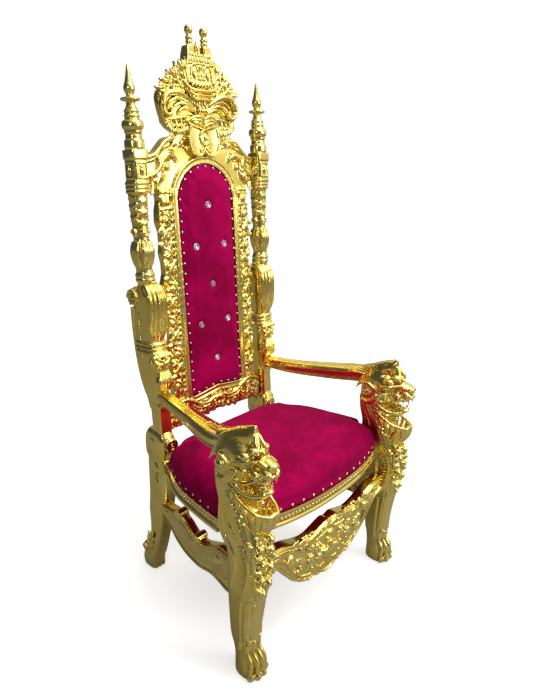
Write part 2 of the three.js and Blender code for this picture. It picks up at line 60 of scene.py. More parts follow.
class Socket:
    """A shader value that adds, multiplies and compares as a number does."""

    def __init__(self, tree, out):
        self.tree = tree
        self.out = out

    def node(self, kind, settings=None, **inputs):
        made = self.tree.nodes.new(kind)
        for name, value in (settings or {}).items():
            setattr(made, name, value)
        for name, value in inputs.items():
            key = int(name[1:]) if name[1:].isdigit() else name.replace("_", " ")
            if isinstance(value, Socket):
                self.tree.links.new(value.out, made.inputs[key])
            else:
                made.inputs[key].default_value = value
        return Socket(self.tree, made.outputs[0])

    def math(self, kind, *values):
        return self.node("ShaderNodeMath", {"operation": kind}, **{f"i{i}": v for i, v in enumerate(values)})

    def __add__(self, other):
        return self.math("ADD", self, other)

    def __radd__(self, other):
        return self.math("ADD", other, self)

    def __sub__(self, other):
        return self.math("SUBTRACT", self, other)

    def __rsub__(self, other):
        return self.math("SUBTRACT", other, self)

    def __mul__(self, other):
        return self.math("MULTIPLY", self, other)

    def __rmul__(self, other):
        return self.math("MULTIPLY", other, self)

    def between(self, low_value, high_value):
        """0 below low_value, 1 above high_value, and smooth between."""
        made = self.node("ShaderNodeMapRange", {"interpolation_type": "SMOOTHSTEP"},
                         Value=self, From_Min=low_value, From_Max=high_value)
        return made

    def mix(self, first, second):
        """The first colour where this is 0 and the second where it is 1."""
        made = self.tree.nodes.new("ShaderNodeMix")
        made.data_type = "RGBA"
        self.tree.links.new(self.out, made.inputs[0])
        for socket, value in ((made.inputs[6], first), (made.inputs[7], second)):
            if isinstance(value, Socket):
                self.tree.links.new(value.out, socket)
            else:
                socket.default_value = (*value, 1)
        return Socket(self.tree, made.outputs[2])


def material(name):
    """A new material: its shader node and a place to start from, the object's own coordinates."""
    made = bpy.data.materials.new(name)
    made.use_nodes = True
    tree = made.node_tree
    place = tree.nodes.new("ShaderNodeTexCoord")
    return made, tree.nodes["Principled BSDF"], Socket(tree, place.outputs["Object"])


def feed(shader, name, value):
    """Links a varying value to one of the shader's sockets."""
    value.tree.links.new(value.out, shader.inputs[name])


def gilding():
    """Bright gold over red clay, a little uneven; painted shade darkens it in the hollows and a painted highlight pales
    it on the ridges.
    """
    made, shader, at = material("gilding")
    hollow = at.node("ShaderNodeAttribute", {"attribute_name": "hollow"})
    hollow = Socket(hollow.tree, hollow.out.node.outputs["Fac"])
    broad = at.node("ShaderNodeTexNoise", Vector=at, Scale=14.0, Detail=3.0)
    fine = at.node("ShaderNodeTexNoise", Vector=at, Scale=160.0, Detail=4.0)
    depth = hollow + (fine - 0.5) * 0.25
    leafed = broad.between(0.35, 0.7).mix((0.91, 0.69, 0.15), (0.95, 0.77, 0.24))
    # Painted shade: the gold turns dark brown in the hollows and grooves.
    hollow_shade = depth.between(0.56, 0.85).mix(leafed, (0.33, 0.20, 0.035))
    # Painted highlight: the gold turns pale yellow on the ridges.
    shade_and_highlight = (1.0 - depth).between(0.58, 0.9).mix(hollow_shade, (1.0, 0.83, 0.33))
    feed(shader, "Base Color", shade_and_highlight)
    feed(shader, "Roughness", 0.13 + 0.10 * broad + 0.30 * depth.between(0.5, 0.95))
    bump = at.node("ShaderNodeBump", Height=fine * 0.6 + broad * 0.4, Strength=0.12, Distance=0.0008)
    feed(shader, "Normal", bump)
    shader.inputs["Metallic"].default_value = 1.0
    return made


GILDING = gilding()


# The gilding paints shade where this value is high and a highlight where it is low.
def note_hollows(obj, rounds=4):
    """Writes on each point how hollow the carving is there: 0 on a sharp ridge, 1 in a deep groove."""
    mesh = obj.data
    count = len(mesh.vertices)
    places = np.empty(count * 3)
    normals = np.empty(count * 3)
    ends = np.empty(len(mesh.edges) * 2, dtype=int)
    mesh.vertices.foreach_get("co", places)
    mesh.vertices.foreach_get("normal", normals)
    mesh.edges.foreach_get("vertices", ends)
    places, normals, ends = places.reshape(-1, 3), normals.reshape(-1, 3), ends.reshape(-1, 2)
    one, two = ends.T
    step = places[two] - places[one]
    far = np.linalg.norm(step, axis=1) + 1e-9
    rise = np.concatenate((np.sum(normals[one] * step, 1) / far, -np.sum(normals[two] * step, 1) / far))
    owners = np.concatenate((one, two))
    others = np.concatenate((two, one))
    shared = np.maximum(np.bincount(owners, minlength=count), 1)
    value = np.bincount(owners, weights=rise, minlength=count) / shared
    for _ in range(rounds):
        value = 0.5 * value + 0.5 * np.bincount(owners, weights=value[others], minlength=count) / shared
    layer = mesh.attributes.new("hollow", "FLOAT", "POINT")
    layer.data.foreach_set("value", np.clip(0.5 + 2.2 * value, 0, 1).astype(np.float32))


def settle(obj):
    """Puts the piece's modifiers into its mesh."""
    bpy.context.view_layer.update()
    done = bpy.data.meshes.new_from_object(obj.evaluated_get(bpy.context.evaluated_depsgraph_get()))
    obj.modifiers.clear()
    obj.data = done


def show(obj, slot, surface, *nodes):
    """Dresses a piece and puts it in place of the CAD nodes that it stands for."""
    obj.data.materials.clear()
    obj.data.materials.append(surface)
    for face in obj.data.polygons:
        face.use_smooth = True
    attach(obj, "root")
    if nodes:
        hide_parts(*nodes)


def piece(form, name, place=STANDS):
    """An object from a bmesh drawn in millimetres."""
    bmesh.ops.recalc_face_normals(form, faces=form.faces[:])
    form.transform(place)
    mesh = bpy.data.meshes.new(name)
    form.to_mesh(mesh)
    form.free()
    obj = bpy.data.objects.new(name, mesh)
    bpy.context.collection.objects.link(obj)
    return obj


def other_side(obj, name):
    """The mirror image of a piece, for the other side of the chair."""
    mesh = obj.data.copy()
    mesh.name = name
    mesh.transform(Matrix.Diagonal((-1, 1, 1, 1)))
    mesh.flip_normals()
    made = bpy.data.objects.new(name, mesh)
    bpy.context.collection.objects.link(made)
    return made


CARRIER = bpy.data.meshes.new("carrier")


def join(form, part):
    """Adds a small form to a big one. Each form is made on its own, which is much quicker."""
    part.to_mesh(CARRIER)
    part.free()
    form.from_mesh(CARRIER)


def turned(form, profile, middle=(0, 0, 0), steps=40):
    """A body turned about an upright axis; the profile is [radius, height]."""
    x, y, z = middle
    part = bmesh.new()
    points = [part.verts.new((x + r, y, z + up)) for r, up in profile]
    edges = [part.edges.new(pair) for pair in zip(points, points[1:])]
    bmesh.ops.spin(part, geom=points + edges, cent=middle, axis=(0, 0, 1), angle=2 * math.pi, steps=steps,
                   use_merge=True)
    join(form, part)


def through(points, steps):
    """More points on the smooth curve through the given ones; each may carry widths after x, y and z."""
    made = []
    held = [points[0], *points, points[-1]]
    for p, q, r, s in zip(held, held[1:], held[2:], held[3:]):
        for k in range(steps):
            t = k / steps
            made.append([b + 0.5 * t * ((c - a) + t * ((2 * a - 5 * b + 4 * c - d) + t * (3 * b - a - 3 * c + d)))
                         for a, b, c, d in zip(p, q, r, s)])
    return [*made, list(points[-1])]


FINIAL_PROFILE = [
    [29, 0.3], [29, 22], [27, 27], [24, 30], [24, 38], [23, 41], [25, 46], [26, 55], [30, 59], [31.5, 65], [31, 73],
    [28, 79], [22, 83], [21, 88], [23, 92], [21, 96], [20, 101], [22, 105], [19, 110], [16, 115], [13.5, 121],
    [12.5, 128], [17, 132], [27, 135], [28, 138], [26, 141], [14, 144], [10.5, 147], [10.5, 150], [13, 155],
    [15.5, 161], [16.3, 167], [15.2, 174], [12.6, 181], [10, 190], [7.8, 200], [5.8, 211], [3.6, 222], [1.6, 231],
]
for side, x in (("left", -POST_X), ("right", POST_X)):
    form = bmesh.new()
    profile = [[0.05, 0.3], *through(FINIAL_PROFILE, 3), [0.05, 233.5]]
    turned(form, profile, (x, 0, POST_TOP))
    finial = piece(form, f"turned_finial_{side}", LEANS)
    note_hollows(finial, 1)
    show(finial, "gilding", GILDING, f"finial_{side}")

# ---------------------------------------------------------------- rear posts
# Each rear post is one carved piece: a panelled square head, a ribboned shaft with a rosette, a husk of long
# leaves, turned rings, a console like a bound sheaf with a volute behind, a scroll block and a plain rear leg.


def oval(middle, across, through_way, along=(0, 0, 1)):
    """A frame whose unit circle is an oval: half-axes across and through_way, round middle."""
    across, through_way = Vector(across), Vector(through_way)
    third = across.cross(through_way)
    if third.length == 0:
        third = Vector(along)
    third = third.normalized()
    made = Matrix((across, through_way, third)).transposed().to_4x4()
    made.translation = Vector(middle)
    return made


def tube(form, frames, sides=10, squareness=None):
    """A closed body through ovals, extruded from one to the next; squareness bends each towards a box."""
    part = bmesh.new()
    start = bmesh.ops.create_circle(part, cap_ends=True, segments=sides, radius=1)["verts"]
    corners = [v.co.copy() for v in start]
    edges = list(start[0].link_faces[0].edges)
    ring = {v: i for i, v in enumerate(start)}
    for step, here in enumerate(frames):
        if step:
            made = bmesh.ops.extrude_edge_only(part, edges=edges)["geom"]
            fresh = {g for g in made if isinstance(g, bmesh.types.BMVert)}
            ring = {e.other_vert(v): i for v, i in ring.items() for e in v.link_edges if e.other_vert(v) in fresh}
            edges = [g for g in made if isinstance(g, bmesh.types.BMEdge) and {*g.verts} <= fresh]
        power = squareness[step] if squareness else 2
        for v, i in ring.items():
            v.co = here @ Vector([math.copysign(abs(c) ** (2 / power), c) for c in corners[i]])
    bmesh.ops.contextual_create(part, geom=edges)
    join(form, part)


def strand(form, points, face=(0, -1, 0), steps=4, sides=8):
    """A carved rib along a curve of [x, y, z, half-width, half-height]; its height stands along face."""
    face = Vector(face)
    run = through(points, steps)
    frames = []
    for i, here in enumerate(run):
        before, after = run[max(i - 1, 0)], run[min(i + 1, len(run) - 1)]
        along = (Vector(after[:3]) - Vector(before[:3])).normalized()
        across = along.cross(face).normalized()
        up = across.cross(along).normalized()
        frames.append(oval(here[:3], across * max(here[3], 0.3), up * max(here[4], 0.3)))
    tube(form, frames, sides)


def lump(form, middle, sizes, turn=(0, 0, 0), detail=12):
    """An egg-shaped swelling; turn is in degrees about x, y and z."""
    spun = Matrix.Identity(4)
    for axis, angle in zip("XYZ", turn):
        spun = Matrix.Rotation(math.radians(angle), 4, axis) @ spun
    part = bmesh.new()
    bmesh.ops.create_uvsphere(part, u_segments=detail, v_segments=detail * 2 // 3, radius=1,
                              matrix=Matrix.Translation(middle) @ spun @ Matrix.Diagonal((*sizes, 1)))
    join(form, part)


def beads(form, points, radius, pitch, flat=1.0):
    """A row of beads along a run of straight lines."""
    left = 0.0
    for a, b in zip(points, points[1:]):
        a, b = Vector(a), Vector(b)
        length = (b - a).length
        while left < length:
            lump(form, a.lerp(b, left / length), (radius, radius * flat, radius), detail=8)
            left += pitch
        left -= length


def acanthus(form, start, along, face, length, width, bend=0.0, lift=0.1, lobes=4, thick=0.09):
    """A carved leaf: a rib with lobes fanning from both sides, curving by bend and lifting at its tip."""
    start, along, face = Vector(start), Vector(along).normalized(), Vector(face).normalized()
    across = along.cross(face).normalized()

    def at(t, out=0.0):
        low_edge = thick * length * 0.5 * (1 - abs(out) / max(width, 1))
        return (start + along * length * t * (1 - 0.25 * abs(bend) * t) + across * (length * bend * t * t + out)
                + face * (length * lift * t ** 3 + low_edge))

    rib = [(0, 0.07, 0.9), (0.3, 0.06, 1.0), (0.65, 0.045, 0.9), (0.9, 0.05, 0.8), (1.0, 0.01, 0.3)]
    strand(form, [[*at(t), half * length, thick * length * high] for t, half, high in rib], face, 3, 8)
    for k in range(lobes):
        t = (k + 0.15) / (lobes + 0.4)
        reach = width * 0.5 * (1.0 - 0.75 * (t - 0.32) ** 2 / 0.32) * (0.75 if k == 0 else 1.0)
        fat = length / (lobes + 1) * 0.36
        for way in (-1, 1):
            strand(form, [
                [*at(t), fat * 0.7, thick * length * 0.7],
                [*at(t + 0.10, way * reach * 0.5), fat, thick * length * 0.85],
                [*at(t + 0.22, way * reach * 0.92), fat * 0.85, thick * length * 0.7],
                [*at(t + 0.34, way * reach * 0.98), fat * 0.2, thick * length * 0.25],
            ], face, 2, 6)


def volute(form, middle, first, second, radius, turns=1.6, thick=0.2, tall=0.3, eye=0.26, way=1):
    """A spiral roll in the plane of first and second, closing in on a round eye."""
    first, second = Vector(first).normalized(), Vector(second).normalized()
    face = first.cross(second).normalized()
    middle = Vector(middle)
    points = []
    count = int(turns * 8)
    for i in range(count + 1):
        t = i / count
        angle = way * t * turns * 2 * math.pi
        out = radius * (1 - thick) * (1 - 0.74 * t)
        where = middle + first * out * math.cos(angle) + second * out * math.sin(angle)
        points.append([*where, radius * thick * (1 - 0.45 * t), radius * tall * (1 - 0.35 * t)])
    strand(form, points, face, 2, 8)
    flat = Matrix((first, second, face)).transposed().to_4x4()
    flat.translation = middle
    part = bmesh.new()
    bmesh.ops.create_uvsphere(part, u_segments=12, v_segments=8, radius=1, matrix=flat @ Matrix.Diagonal(
        (radius * eye, radius * eye, radius * tall * 1.1, 1)))
    join(form, part)


def thin(obj, triangles):
    """Thins a mesh out to a number of triangles."""
    count = sum(len(face.vertices) - 2 for face in obj.data.polygons)
    if count > triangles:
        fewer = obj.modifiers.new("fewer", "DECIMATE")
        fewer.ratio = triangles / count
        settle(obj)


def carved(obj, voxel, triangles, smooth=1):
    """Fuses the overlapping forms of a carving into one skin, eases it and thins it out."""
    melt = obj.modifiers.new("melt", "REMESH")
    melt.mode = "VOXEL"
    melt.voxel_size = voxel * 0.001
    if smooth:
        ease = obj.modifiers.new("ease", "SMOOTH")
        ease.factor = 0.5
        ease.iterations = smooth
    settle(obj)
    thin(obj, triangles)
    note_hollows(obj)


UP = Vector((0, 0, 1))
FRONT = Vector((0, -1, 0))

# The upper post in the leaning frame: [height, middle, half-width, front, back, squareness].
POST_SECTIONS = [
    [560, 250, 25, -16, 36, 6], [640, 250, 25, -16, 36, 6], [652, 250, 25, -16, 36, 6], [656, 250, 28, -20, 40, 5],
    [668, 250, 28, -20, 44, 5], [680, 250, 26, -18, 50, 5], [700, 251, 27, -20, 58, 4], [740, 252, 30, -24, 72, 4],
    [800, 253, 30, -22, 76, 4], [880, 253, 31, -22, 76, 4], [985, 254, 33, -24, 70, 4], [1040, 256, 33, -22, 60, 4],
    [1062, 258, 29, -18, 44, 3], [1076, 260, 25, -15, 36, 2.4], [1082, 261, 26, -17, 37, 2], [1086, 261, 30, -20, 41, 2],
    [1092, 261, 31, -21, 42, 2], [1098, 262, 28, -18, 39, 2], [1102, 262, 30, -20, 41, 2], [1108, 262, 30, -20, 41, 2],
    [1114, 262, 26, -16, 37, 2], [1124, 263, 25, -15, 36, 2], [1150, 263, 27, -17, 38, 2], [1175, 263, 28, -18, 39, 2],
    [1205, 263, 25, -15, 36, 2], [1216, 263, 23, -12, 34, 2], [1256, 263, 23, -13, 34, 2.2],
    [1350, 263, 26, -18, 33, 3], [1354, 263, 30, -23, 36, 4], [1359, 263, 30, -24, 36, 4], [1362, 263, 27, -21, 33, 4],
    [1366, 263, 30, -25, 36, 4], [1371, 263, 30, -25, 36, 4], [1374, 263, 27, -23, 33, 5], [1379, 263, 30, -27, 35, 5],
    [1384, 263, 29, -27, 33, 6], [1388, 263, 26, -25, 28, 8], [1446, 263, 26, -26, 26, 8], [1451, 263, 29, -28, 28, 8],
    [1476, 263, 29, -29, 29, 8],
]
form = bmesh.new()
tube(form, [oval((x, (front + back) / 2, z), (half, 0, 0), (0, (back - front) / 2, 0))
            for z, x, half, front, back, _ in POST_SECTIONS], 32, [power for *_, power in POST_SECTIONS])

# Raised fillets frame a sunk panel on each face of the head.
for turn in range(4):
    spin = Matrix.Rotation(turn * math.pi / 2, 4, "Z")
    corners = [spin @ Vector((across, -27.0, z)) for across, z in ((-17, 1396), (17, 1396), (17, 1440), (-17, 1440))]
    corners = [Vector((c.x + POST_X, c.y, c.z)) for c in corners]
    outward = spin @ FRONT
    for a, b in zip(corners, corners[1:] + corners[:1]):
        strand(form, [[*a, 2.2, 2.0], [*a.lerp(b, 0.5), 2.2, 2.0], [*b, 2.2, 2.0]], outward, 1, 6)
    mid = sum(corners, Vector()) / 4
    lump(form, mid, (7, 7, 16), detail=10)

# Two ribbons wind round the shaft and cross, and a spiral rosette and a husk of leaves hang below them.
for way in (-1, 1):
    for phase in (0, math.pi):
        points = []
        for i in range(13):
            t = i / 12
            angle = way * t * 2.6 * math.pi + phase
            reach = 24 + 2.5 * t
            points.append([POST_X + reach * math.sin(angle), 9 - reach * math.cos(angle), 1262 + 86 * t, 4.2, 3.0])
        strand(form, points, UP, 3, 6)
for turn in (0, 90, 180, 270):
    spin = Matrix.Rotation(math.radians(turn), 4, "Z")
    out = spin @ FRONT
    across = spin @ Vector((1, 0, 0))
    axis = Vector((POST_X, 10, 0))
    volute(form, axis + out * 25 + UP * 1236, across, UP, 16, 1.5, 0.22, 0.3)
    for off, length in ((0, 92), (-13, 76), (13, 76)):
        top = axis + out * 24 + UP * (1216 - abs(off) * 0.5) + across * off
        strand(form, [[*top, 5, 3], [*(top - UP * length * 0.35 + out * 5), 8.5, 6],
                      [*(top - UP * length * 0.75 + out * 3), 6, 4.5], [*(top - UP * length), 1, 1.5]], out, 4, 8)

# The console: reeds bound by a double roll, a volute behind, a zigzag band, a mask of leaves and a swelling.
for i in range(5):
    off = (i - 2) * 14.5
    x = 254 + off
    bow = 2.5 * (2 - abs(i - 2))
    strand(form, [[x * 0.2 + 0.8 * 253, -14 - bow, 884, 4.5, 6], [x, -22 - bow, 930, 7.5, 9],
                  [x, -27 - bow, 985, 8, 10], [x, -28 - bow, 1030, 8, 10], [x + off * -0.1, -20 - bow, 1056, 7.5, 9],
                  [x + off * -0.2, 0, 1072, 6, 8], [x + off * -0.2, 24, 1078, 5, 7]], FRONT, 4, 8)
for side in (-1, 1):
    volute(form, (255 + side * 38, 44, 1032), (0, 1, 0), (0, 0, side), 34, 1.6, 0.2, 0.22, way=side)
    strand(form, [[254 + side * 32, 60, 1000, 9, 8], [253 + side * 30, 68, 930, 8, 7], [252 + side * 29, 66, 840, 8, 7],
                  [251 + side * 27, 58, 760, 7, 6], [250 + side * 25, 44, 706, 6, 5]], (side, 0, 0), 3, 8)
    beads(form, [(254 + side * 35, 30, 980), (253 + side * 34, 34, 900), (253 + side * 33, 34, 830)], 3.4, 8.5)
back_roll = [[255, 50, 1062, 34, 8], [255, 76, 1048, 34, 9], [255, 84, 1028, 33, 9], [254, 78, 1006, 32, 8]]
strand(form, back_roll, (0, 1, 0), 4, 10)
for z in (882, 868, 854):
    fat = 5 if z == 868 else 7
    frames = [oval((253, 24, z + dz), (38 + out, 0, 0), (0, 54 + out, 0)) for dz, out in
              ((-fat, -6), (-fat * 0.6, -1), (0, 0.5), (fat * 0.6, -1), (fat, -6))]
    tube(form, frames, 32, [3.4] * 5)
for i in range(7):
    x = 253 + (i - 3) * 10
    strand(form, [[x - 5, -29, 850, 3, 4], [x, -31, 838, 3.5, 4], [x + 5, -29, 850, 3, 4]], FRONT, 3, 6)
for side in (-1, 1):
    acanthus(form, (253 + side * 8, -26, 838), (side * 0.5, 0, -1), FRONT, 46, 26, side * 0.3, 0.1, 3)
    strand(form, [[253 + side * 30, -20, 846, 5, 5], [253 + side * 26, -28, 826, 6, 5], [253 + side * 10, -32, 816, 6, 5],
                  [253, -32, 818, 5, 5]], FRONT, 4, 8)
    lump(form, (253 + side * 14, -31, 833), (6, 5, 5))
    lump(form, (253 + side * 33, -12, 822), (6, 9, 12))
lump(form, (253, -33, 824), (5, 5, 8))
lump(form, (252, -24, 752), (30, 14, 30), detail=16)
for i in range(5):
    off = (i - 2) * 11
    strand(form, [[252 + off * 0.7, -28, 792, 3.5, 4], [252 + off, -37, 766, 5, 5], [252 + off, -36, 744, 5, 5],
                  [252 + off * 0.8, -26, 722, 3, 3]], FRONT, 3, 6)
upper = form

# The scroll block, with a coil of ridges on its front, and the leg down to its turned-back foot.
form = bmesh.new()
BLOCK = [[455, 26, 44, 4], [464, 30, 50, 4], [474, 33, 52, 4], [500, 34, 55, 4], [522, 34, 55, 4], [542, 33, 53, 4],
         [556, 30, 49, 3.5], [566, 26, 42, 3], [571, 22, 36, 3]]
tube(form, [oval((252, 258, z), (half, 0, 0), (0, deep, 0)) for z, half, deep, _ in BLOCK], 28, [b[3] for b in BLOCK])
volute(form, (246, 203, 520), (1, 0, 0), UP, 31, 2.6, 0.13, 0.24, 0.2)
for side in (-1, 1):
    volute(form, (252 + side * 32, 262, 516), (0, 1, 0), UP, 34, 2.2, 0.14, 0.13, 0.2, way=-1)
LEG = [[0, 278, 281, 25, 28, 4], [9, 278, 281, 27, 31, 4], [18, 278, 282, 29, 34, 4], [38, 278, 282, 30, 37, 4],
       [56, 277, 280, 29, 37, 4], [74, 276, 268, 27, 34, 4], [110, 275, 256, 26.5, 31, 5], [160, 273, 244, 27, 30, 5],
       [210, 271, 239, 27.5, 35, 6], [260, 270, 239, 28, 41, 6], [330, 266, 234, 28, 46, 6], [430, 258, 238, 29, 54, 6],
       [470, 253, 250, 28, 50, 6]]
tube(form, [oval((x, y, z), (half, 0, 0), (0, deep, 0)) for z, x, y, half, deep, _ in LEG], 28, [s[5] for s in LEG])
for side in (-1, 1):
    volute(form, (277 + side * 27, 300, 82), (0, 1, 0), UP, 17, 1.5, 0.24, 0.35)
    acanthus(form, (277 + side * 28, 262, 96), (0, 0.15, 1), (side, 0, 0), 84, 34, -0.2 * side, 0.0, 3, 0.05)
    acanthus(form, (254 + side * 29, 246, 452), (0.1, 0, -1), (side, 0, 0), 76, 52, 0.1 * side, 0.0, 4, 0.05)
strand(form, [[277, 296, 100, 24, 6], [277, 314, 90, 25, 6], [277, 315, 74, 24, 6], [277, 304, 64, 23, 6]], (0, 1, 0), 4, 10)
lump(form, (277, 308, 48), (19, 12, 22))
for i in range(3):
    strand(form, [[277 + (i - 1) * 13, 262, 84, 4, 4], [277 + (i - 1) * 14, 250, 48, 6, 5],
                  [277 + (i - 1) * 15, 248, 22, 6, 5], [277 + (i - 1) * 14, 250, 8, 4, 4]], FRONT, 4, 8)
bmesh.ops.bisect_plane(form, geom=form.verts[:] + form.edges[:] + form.faces[:], plane_co=(0, 0, 9.5),
                       plane_no=(0, 0, 1), clear_inner=True)
bmesh.ops.holes_fill(form, edges=[e for e in form.edges if e.is_boundary])
upper.transform(STANDS.inverted() @ LEANS)
whole = bpy.data.meshes.new("post")
upper.to_mesh(whole)
upper.free()
form.from_mesh(whole)
post = piece(form, "carved_post_right")
carved(post, 2.0, 75000)
for obj, side in ((post, "right"), (other_side(post, "carved_post_left"), "left")):
    show(obj, "gilding", GILDING, f"post_{side}")

# ---------------------------------------------------------------- crest
# The carved crest stands on the back's top rail: a little crown with two turrets over a grooved brim, two wing
# scrolls, a fluted lip, a plain shield with two small curls, and leaves all round. Carved wood, gilded.


def board(form, outline, front, back, ease=2.5):
    """A flat board with an outline of [x, z] points and eased edges."""
    part = bmesh.new()
    corners = [part.verts.new((x, front, z)) for x, z in outline]
    face = part.faces.new(corners)
    raised = bmesh.ops.extrude_face_region(part, geom=[face])["geom"]
    moved = [g for g in raised if isinstance(g, bmesh.types.BMVert)]
    bmesh.ops.translate(part, verts=moved, vec=(0, back - front, 0))
    rims = [e for e in part.edges if {*e.verts} <= {*corners}]
    bmesh.ops.bevel(part, geom=rims, offset=ease, affect="EDGES", segments=2, profile=0.5, material=-1)
    join(form, part)


def both_sides(half):
    """Mirrors an outline's right half, given from the bottom up, into a whole closed outline."""
    return [*half, *[(-x, z) for x, z in reversed(half) if x > 0]]


def across_middle(points):
    """A curve from the left end to the right end, from its right half given from the middle outwards."""
    return [[-p[0], *p[1:]] for p in reversed(points) if p[0] > 0] + [list(p) for p in points]


CREST_BOARD = [(0, 1470), (30, 1466), (52, 1474), (62, 1500), (78, 1524), (104, 1532), (128, 1545), (142, 1560),
               (150, 1600), (157, 1630), (150, 1650), (120, 1664), (94, 1684), (70, 1704), (0, 1712)]
CROWN_BOARD = [(0, 1672), (58, 1680), (59, 1720), (50, 1764), (43, 1786), (20, 1786), (19, 1758), (0, 1756)]
form = bmesh.new()
board(form, both_sides(CREST_BOARD), 3, 33, 4)
board(form, both_sides(CROWN_BOARD), -14, 20, 4)

# The crown: ringed turrets with knobs, a pointed spire, arched windows and saw-tooth trims.
for side in (-1, 1):
    turned(form, [[0.1, 1748], [12, 1748], [12, 1756], [10, 1760], [11.5, 1766], [11.5, 1772], [9, 1775],
                  [11, 1780], [11, 1785], [8.5, 1788], [11, 1793], [11, 1797], [8, 1800], [11.5, 1804], [11.5, 1808],
                  [8, 1812], [7, 1817], [10, 1820], [12.6, 1826], [12.9, 1831], [11.5, 1837], [8, 1841], [0.1, 1843]],
           (side * 30, -2, 0), 20)
    x = side * 27
    arch = [[x - 15, -15, 1688, 2.4, 3], [x - 15, -15, 1712, 2.4, 3], [x - 10, -15, 1726, 2.4, 3],
            [x, -15, 1731, 2.4, 3], [x + 10, -15, 1726, 2.4, 3], [x + 15, -15, 1712, 2.4, 3],
            [x + 15, -15, 1688, 2.4, 3]]
    strand(form, arch, FRONT, 3, 6)
    lump(form, (x, -14, 1704), (9, 4, 16))
    lump(form, (x, -18, 1699), (4, 3, 6))
    strand(form, [[side * 56, -6, 1684, 4, 9], [side * 55, -8, 1724, 4, 9], [side * 48, -8, 1762, 4, 9],
                  [side * 42, -4, 1784, 4, 8]], FRONT, 3, 8)
    strand(form, [[side * 4, -15, 1688, 2.5, 3], [side * 4, -15, 1728, 2.5, 3]], FRONT, 2, 6)
turned(form, [[0.1, 1738], [11, 1740], [8, 1752], [10, 1762], [10.5, 1772], [9, 1784], [5.5, 1795], [2, 1803],
              [0.1, 1806]], (0, -2, 0), 20)
for z, half, teeth in ((1742, 50, 9), (1757, 46, 8), (1776, 0, 0)):
    for i in range(teeth):
        x = -half + 2 * half * (i + 0.5) / teeth
        lump(form, (x, -16, z), (4.6, 4, 7.5), detail=8)
    if teeth:
        strand(form, [[-half, -15, z - 8, 2.5, 3], [half, -15, z - 8, 2.5, 3]], FRONT, 2, 6)

# The brim: three curved ribs that turn up at their ends, with teeth over and under them.
for lift, half, fat in ((0, 66, 5.5), (-13, 60, 4.5), (-25, 52, 5)):
    rib = [(0, -19, 1655 + lift, fat, 6), (34, -18, 1657 + lift, fat, 6), (half - 10, -14, 1665 + lift, fat, 6),
           (half, -8, 1683 + lift, fat * 0.7, 5)]
    strand(form, across_middle(rib), FRONT, 4, 8)
strand(form, across_middle([(0, -8, 1644, 26, 6), (44, -6, 1650, 20, 6)]), FRONT, 4, 8)
for i in range(7):
    lump(form, ((i - 3) * 12, -15, 1672 + abs(i - 3)), (5, 5, 8), detail=8)
    lump(form, ((i - 3) * 11, -9, 1620 - 2 * (i % 2)), (4.5, 5, 9), detail=8)

# The boss between the wings, with three upright flutes.
lump(form, (0, -2, 1602), (30, 10, 24), detail=16)
for x in (-15, 0, 15):
    strand(form, [[x, -9, 1588, 3, 3], [x, -14, 1594, 5.5, 5], [x, -14, 1608, 5.5, 5], [x, -9, 1616, 3, 3]], FRONT, 3, 8)
    strand(form, [[x - 7, -6, 1586, 2, 3], [x, -9, 1578, 3, 4], [x + 7, -6, 1586, 2, 3]], FRONT, 3, 6)

